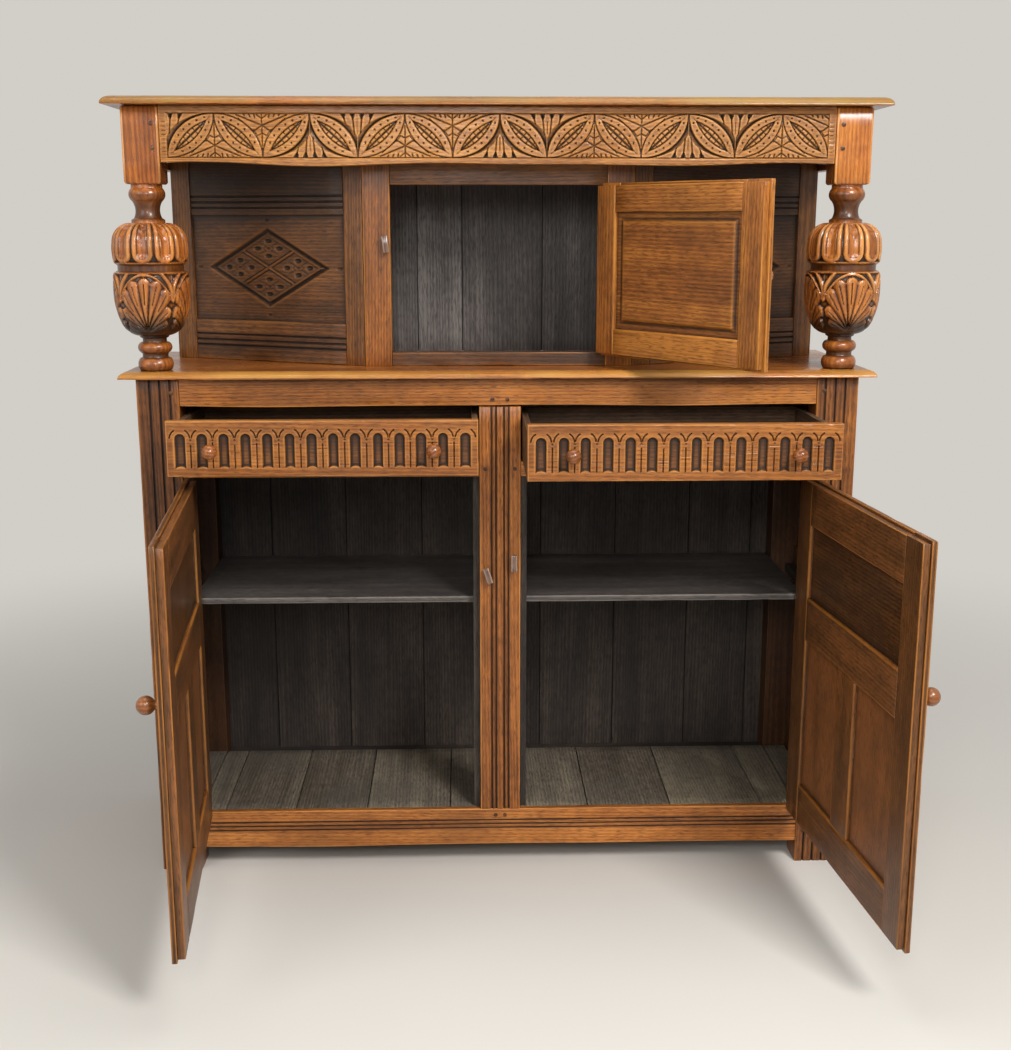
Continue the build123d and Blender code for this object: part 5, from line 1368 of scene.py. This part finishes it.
# Drawers: fronts carved with a row of round-headed niches
drawer = {
    "niches": 14, "margin": 23, "nicheHalf": 9.6, "nicheFoot": 13.5, "nicheHead": 75, "nicheDepth": 5.4,
    "lipRise": 3.2, "chevronRadius": 17.4, "chevron": (1.8, 3.2), "chevronBearing": (4, 60),
    "slit": (1.5, 2.8), "slitFoot": 15, "slitTop": 58, "eyeLevel": 63, "eyeRadius": 2.2, "eyeDepth": 1.6,
    "nicks": 4, "nick": (1.0, 1.0), "nickShare": 0.6, "deepest": 7.5,
    "knobInset": 76, "knobLevel": 46, "side": 11, "bottomRise": 8, "bottomThick": 7,
}


def drawerDepth(across, up, width, seed):
    # niches stand at an even pitch, each a little out of place and size by a seeded draw. inside is
    # the distance into a niche: half width - distance from its middle line, from the centre of its
    # round head above that, and cut off by a bulging lip below. Between niches stand pillars with a
    # slit, an eye and a few nicks, and curved ticks follow the heads
    d = drawer
    pitch = (width - 2 * d["margin"]) / (d["niches"] - 1)
    number = np.clip(np.round((across - d["margin"]) / pitch), 0, d["niches"] - 1).astype(int)
    rng = np.random.default_rng(seed)
    fromNiche = across - d["margin"] - number * pitch - rng.uniform(-0.8, 0.8, d["niches"])[number]
    half = d["nicheHalf"] + rng.uniform(-0.5, 0.5, d["niches"])[number]
    fromHead = up - (d["nicheHead"] - half)
    lip = d["nicheFoot"] + d["lipRise"] * np.clip(1 - (fromNiche / half) ** 2, 0, 1)
    inside = np.minimum(half - np.hypot(fromNiche, np.clip(fromHead, 0, None)), (up - lip) * 1.3)
    cut = d["nicheDepth"] * smooth(inside, 0, 3.4)
    ring = np.abs(np.hypot(fromNiche, fromHead) - d["chevronRadius"])
    bearing = np.degrees(np.arctan2(fromHead, np.abs(fromNiche) + 1e-6))
    lowest, highest = d["chevronBearing"]
    cut += vCut(ring, *d["chevron"]) * (bearing > lowest) * (bearing < highest)
    pillar = (across - d["margin"]) / pitch - 0.5
    fromPillar = np.abs(toNearest(pillar, 1)) * pitch
    inRow = (pillar > -0.4) & (pillar < d["niches"] - 1.6)
    which = np.clip(np.round(pillar) + 1, 0, d["niches"]).astype(int)
    slitTop = d["slitTop"] + rng.uniform(-3, 3, d["niches"] + 1)[which]
    cut += vCut(fromPillar, *d["slit"]) * (up > d["slitFoot"]) * (up < slitTop) * inRow
    cut += d["eyeDepth"] * dome(np.hypot(fromPillar, up - d["eyeLevel"]) / d["eyeRadius"]) * inRow
    for _ in range(d["nicks"]):
        level = rng.uniform(18, 60, d["niches"] + 1)[which]
        keep = rng.uniform(0, 1, d["niches"] + 1)[which] < d["nickShare"]
        cut += vCut(np.abs(up - level), *d["nick"]) * keep * (inside < -0.5) * (fromPillar < 9) * inRow
    # the niches darker all over and more so towards their heads: painted shade under the round heads and
    # in the recess, with wax in the niche
    dirtAndShade = (0.56 + 0.3 * smooth(up, 26, 72)) * smooth(inside, 0.3, 2.4)
    return np.minimum(cut, d["deepest"]), dirtAndShade


def drawers():
    # a carved front with two knobs, and a box of two sides, a back and a bottom set a little up
    d = drawer
    for side, seed in (("left", 5), ("right", 8)):
        body = f"{side}_drawer"
        low, high = span(f"{side}_drawer_front")
        size = high - low - 2 * hair
        origin = np.array([low[0] + hair, low[1], low[2] + hair])
        part = reliefPart(origin, xAxis, zAxis, yAxis, size[[0, 2]], size[1], 0.85,
                          lambda a, b: drawerDepth(a, b, size[0], seed), 0.4)
        makePiece(f"{side}DrawerFront", [part], "drawer", f"{body}_front", body)
        knobs = [np.array([x, low[1], low[2] + d["knobLevel"]])
                 for x in (low[0] + d["knobInset"], high[0] - d["knobInset"])]
        box = span(f"{side}_drawer_box")
        (left, _, under), (right, back, _) = box
        sides = between(box, 1, box[0][1], back - d["side"])
        bottom = between(sides, 2, under + d["bottomRise"], under + d["bottomRise"] + d["bottomThick"])
        parts = [
            boxBoard(*between(sides, 0, left, left + d["side"]), "y", "-x"),
            boxBoard(*between(sides, 0, right - d["side"], right), "y", "+x"),
            boxBoard(*between(box, 1, back - d["side"], back), "x", "+y"),
            boxBoard(*between(bottom, 0, left + d["side"], right - d["side"]), "y", "+z"),
        ]
        makePiece(f"{side}DrawerBox", parts, "drawerBox", f"{body}_box", body)
        parts = [knobPart(base, -yAxis, knobLook["drawerRadius"]) for base in knobs]
        makePiece(f"{side}DrawerKnobs", parts, "knob", f"{body}_knobs", body)


drawers()
print("drawers made")


# Pegs, turn-buttons and the plain inner pieces
pegLook = {"radius": 4, "length": 26, "proud": 0.9, "segments": 16, "firstSeed": 40}
# places: from the centre line, from the posts' front face and above the floor, on both sides
pegPlaces = (*((588, 0, z) for z in (921.5, 781, 64.5, 94.5)), (27, 0, 781), (13.5, 1.5, 908),
             (9, 1.5, 104), (596, -10, 1345), (596, -10, 1385))


def pegPart(centre, seed):
    # a whittled peg: a circle with an eight-sided ripple, radius times 1 - 0.03 (1 + sin(8 angle +
    # seeded turn)), domed at its end
    rng = np.random.default_rng(seed)
    radius, length, proud = pegLook["radius"], pegLook["length"], pegLook["proud"]
    profile = np.array([(0.4, -length), (radius, -length), (radius, 0), (radius * 0.93, proud * 0.6),
                        (radius * 0.6, proud), (0.4, proud)])
    part = turnedPart(centre, -yAxis, profile, pegLook["segments"])
    away = part["points"] - centre
    angle = np.arctan2(away[:, 2], away[:, 0])
    shrink = 1 - 0.03 * (1 + np.sin(8 * angle + rng.uniform(0, 6)))
    part["points"][:, [0, 2]] = centre[[0, 2]] + away[:, [0, 2]] * shrink[:, None]
    part["finish"][:, 2] = rng.uniform(-2.5, 0)
    return part


def pegs():
    # one peg at each place, mirrored about the centre line
    places = [np.array([centreX + sign * x, postFace + y, z])
              for sign in (-1, 1) for x, y, z in pegPlaces]
    parts = [pegPart(place, pegLook["firstSeed"] + k) for k, place in enumerate(places)]
    makePiece("oakPegs", parts, "cupboard", "pegs")


buttonLook = {"width": 12, "length": 30, "thick": 6, "radii": (2.2, 1), "bossRadius": 4.5, "reach": 10.5,
              "pin": 12, "pinRadius": 1.6, "tilt": {"left": 18, "right": 0, "upper": 8}}


def turnButtons():
    # a bar hung from its boss, tilted from straight down by the angle it rests at; the boss turns
    # about the joint's axis and ends in a pin
    b = buttonLook
    wide, thick, reach, pin = b["width"], b["thick"], b["reach"], b["pinRadius"]
    shown, hidden = b["radii"]
    corners = [(0, 0, shown, 0), (wide, 0, shown, 0), (wide, thick, hidden, 0), (0, thick, hidden, 0)]
    profile = np.array([(0.4, -b["pin"]), (pin, -b["pin"]), (pin, 0), (b["bossRadius"], 0),
                        (b["bossRadius"], reach), (0.4, reach)])
    for side, tilt in b["tilt"].items():
        place = jointPlace(f"{side}_button_pivot")
        turn = math.radians(tilt)
        down = np.array([math.sin(turn), 0, -math.cos(turn)])
        across = np.array([math.cos(turn), 0, math.sin(turn)])
        start = place - (down + across) * wide / 2 - yAxis * (reach + thick)
        bar = boardPart(start, down, across, yAxis, b["length"], corners)
        boss = turnedPart(place, -yAxis, profile, 20)
        makePiece(f"{side}TurnButton", [bar, boss], "button", f"{side}_button", f"{side}_turn_button")


pegs()
turnButtons()

innerGrain = {"back_rails": "x", "door_stops": "z", "drawer_runners": "y", "shelf_and_floor_bearers": "y"}
hinges = ("fixed_hinge_halves", "left_door_hinges", "right_door_hinges", "upper_door_hinges")
cadFinish = {node: oak(f"dryOak-{node}", oakLooks["interior"], axis)
             for node, axis in innerGrain.items()}
cadFinish.update(dict.fromkeys(hinges, iron))
for node, material in cadFinish.items():
    slots = frame["nodes"][node].data.materials
    slots.clear()
    slots.append(material)
print("small pieces made")


# Floor and backdrop, lamps and camera
studio = {
    "floorColour": "dcd7ce", "shade": 0.96, "cloudScale": 1.5, "roughness": 0.9,
    "skyColour": "d2cec8", "skyLight": 0.27, "skyTint": (0.95, 0.97, 1.0),
    "middle": (0.6, -0.1, 0), "half": 14.0, "fade": (1.0, 3.0),  # metres
}


def seenDirectly(tree):
    # 1 for a ray from the camera, off a shiny face or through glass, otherwise 0
    rays = tree.nodes.new("ShaderNodeLightPath").outputs
    seen, glossy, through = (rays[f"Is {kind} Ray"] for kind in ("Camera", "Glossy", "Transmission"))
    direct = addNode(tree, "Math", {0: seen, 1: glossy}, operation="MAXIMUM")
    return addNode(tree, "Math", {0: direct, 1: through}, operation="MAXIMUM")


def floorMaterial():
    # matt painted board with a faint unevenness; share of room colour = smooth step of the distance
    # from the object between the two fade radii, so the floor has no far edge and keeps the shadow
    material, tree = newMaterial("paintedFloor")
    where = addNode(tree, "TexCoord", output="Object")
    cloud = addNode(tree, "TexNoise", {"Vector": where, "Scale": studio["cloudScale"]}, "Fac")
    paint = linear(studio["floorColour"])
    shade = [v * studio["shade"] for v in paint[:3]] + [1.0]
    pale = addNode(tree, "Mix", {0: cloud, 6: paint, 7: shade}, 2, data_type="RGBA")
    board = addNode(tree, "BsdfPrincipled", {"Base Color": pale, "Roughness": studio["roughness"]})
    room = addNode(tree, "Emission", {"Color": linear(studio["skyColour"]), "Strength": 1.0})
    distance = addNode(tree, "VectorMath", {0: where}, "Value", operation="LENGTH")
    near, far = studio["fade"]
    away = addNode(tree, "MapRange", {"Value": distance, "From Min": near, "From Max": far},
                   interpolation_type="SMOOTHSTEP")
    share = addNode(tree, "Math", {0: away, 1: seenDirectly(tree)}, operation="MULTIPLY")
    addNode(tree, "OutputMaterial", {0: addNode(tree, "MixShader", {0: share, 1: board, 2: room})})
    return material


def backdrop():
    # one flat square whose middle lies under the object
    half = studio["half"]
    corners = [(-half, -half, 0), (half, -half, 0), (half, half, 0), (-half, half, 0)]
    mesh = bpy.data.meshes.new("floor")
    mesh.from_pydata(corners, [], [(0, 1, 2, 3)])
    mesh.materials.append(floorMaterial())
    ground = placed("floor", mesh, studio["middle"])


lamps = {
    # place, what it points at, size and power, in metres and watts
    "key": ((2.0, -2.5, 2.75), (0.6, 0.1, 0.7), (0.9, 0.9), 96),
    "fill": ((-2.1, -2.7, 2.1), (0.6, 0.1, 0.6), (1.8, 1.8), 34),
    "front": ((0.4, -3.1, 1.9), (0.6, 0.1, 0.5), (0.7, 0.7), 26),
    "ceiling": ((0.6, -0.2, 3.4), (0.6, 0.2, 0.8), (2.2, 1.4), 30),
}


def areaLamp(name, place, target, size, power):
    # a lamp shines down its own -z: tipped by the angle of the target from straight down and turned
    # by the bearing of the target less a quarter turn
    data = bpy.data.lights.new(name, "AREA")
    data.energy, data.shape, data.size, data.size_y = power, "RECTANGLE", *size
    x, y, z = np.array(target) - place
    lamp = placed(name, data, place)
    lamp.rotation_euler = (math.atan2(math.hypot(x, y), -z), 0, math.atan2(y, x) - math.pi / 2)


def lights():
    # the lamps, and a room whose colour is pale where it is seen and faint in what it lights
    for name, settings in lamps.items():
        areaLamp(name, *settings)
    world = bpy.data.worlds.new("studio")
    bpy.context.scene.world = world
    world.use_nodes = True
    tree = world.node_tree
    tree.nodes.clear()
    light = [v * studio["skyLight"] for v in studio["skyTint"]] + [1.0]
    seen = {0: seenDirectly(tree), 6: light, 7: linear(studio["skyColour"])}
    colour = addNode(tree, "Mix", seen, 2, data_type="RGBA")
    addNode(tree, "OutputWorld", {0: addNode(tree, "Background", {0: colour, 1: 1.0})})


view = {"place": (0.5485, -2.50597, 1.22722), "pitch": 12.537, "yaw": 1.7, "focalLength": 47.341,
        "sensor": 36, "clip": (0.05, 50)}


def camera():
    # level is a quarter turn up from straight down; pitch is taken off it and yaw turns to the right
    data = bpy.data.cameras.new("camera")
    data.lens, data.sensor_width, data.sensor_fit = view["focalLength"], view["sensor"], "AUTO"
    data.clip_start, data.clip_end = view["clip"]
    made = placed("camera", data, view["place"])
    made.rotation_euler = (math.radians(90 - view["pitch"]), 0, math.radians(-view["yaw"]))
    bpy.context.scene.camera = made


backdrop()
lights()
camera()
bpy.context.scene.view_settings.view_transform = "Standard"

print("scene finished")
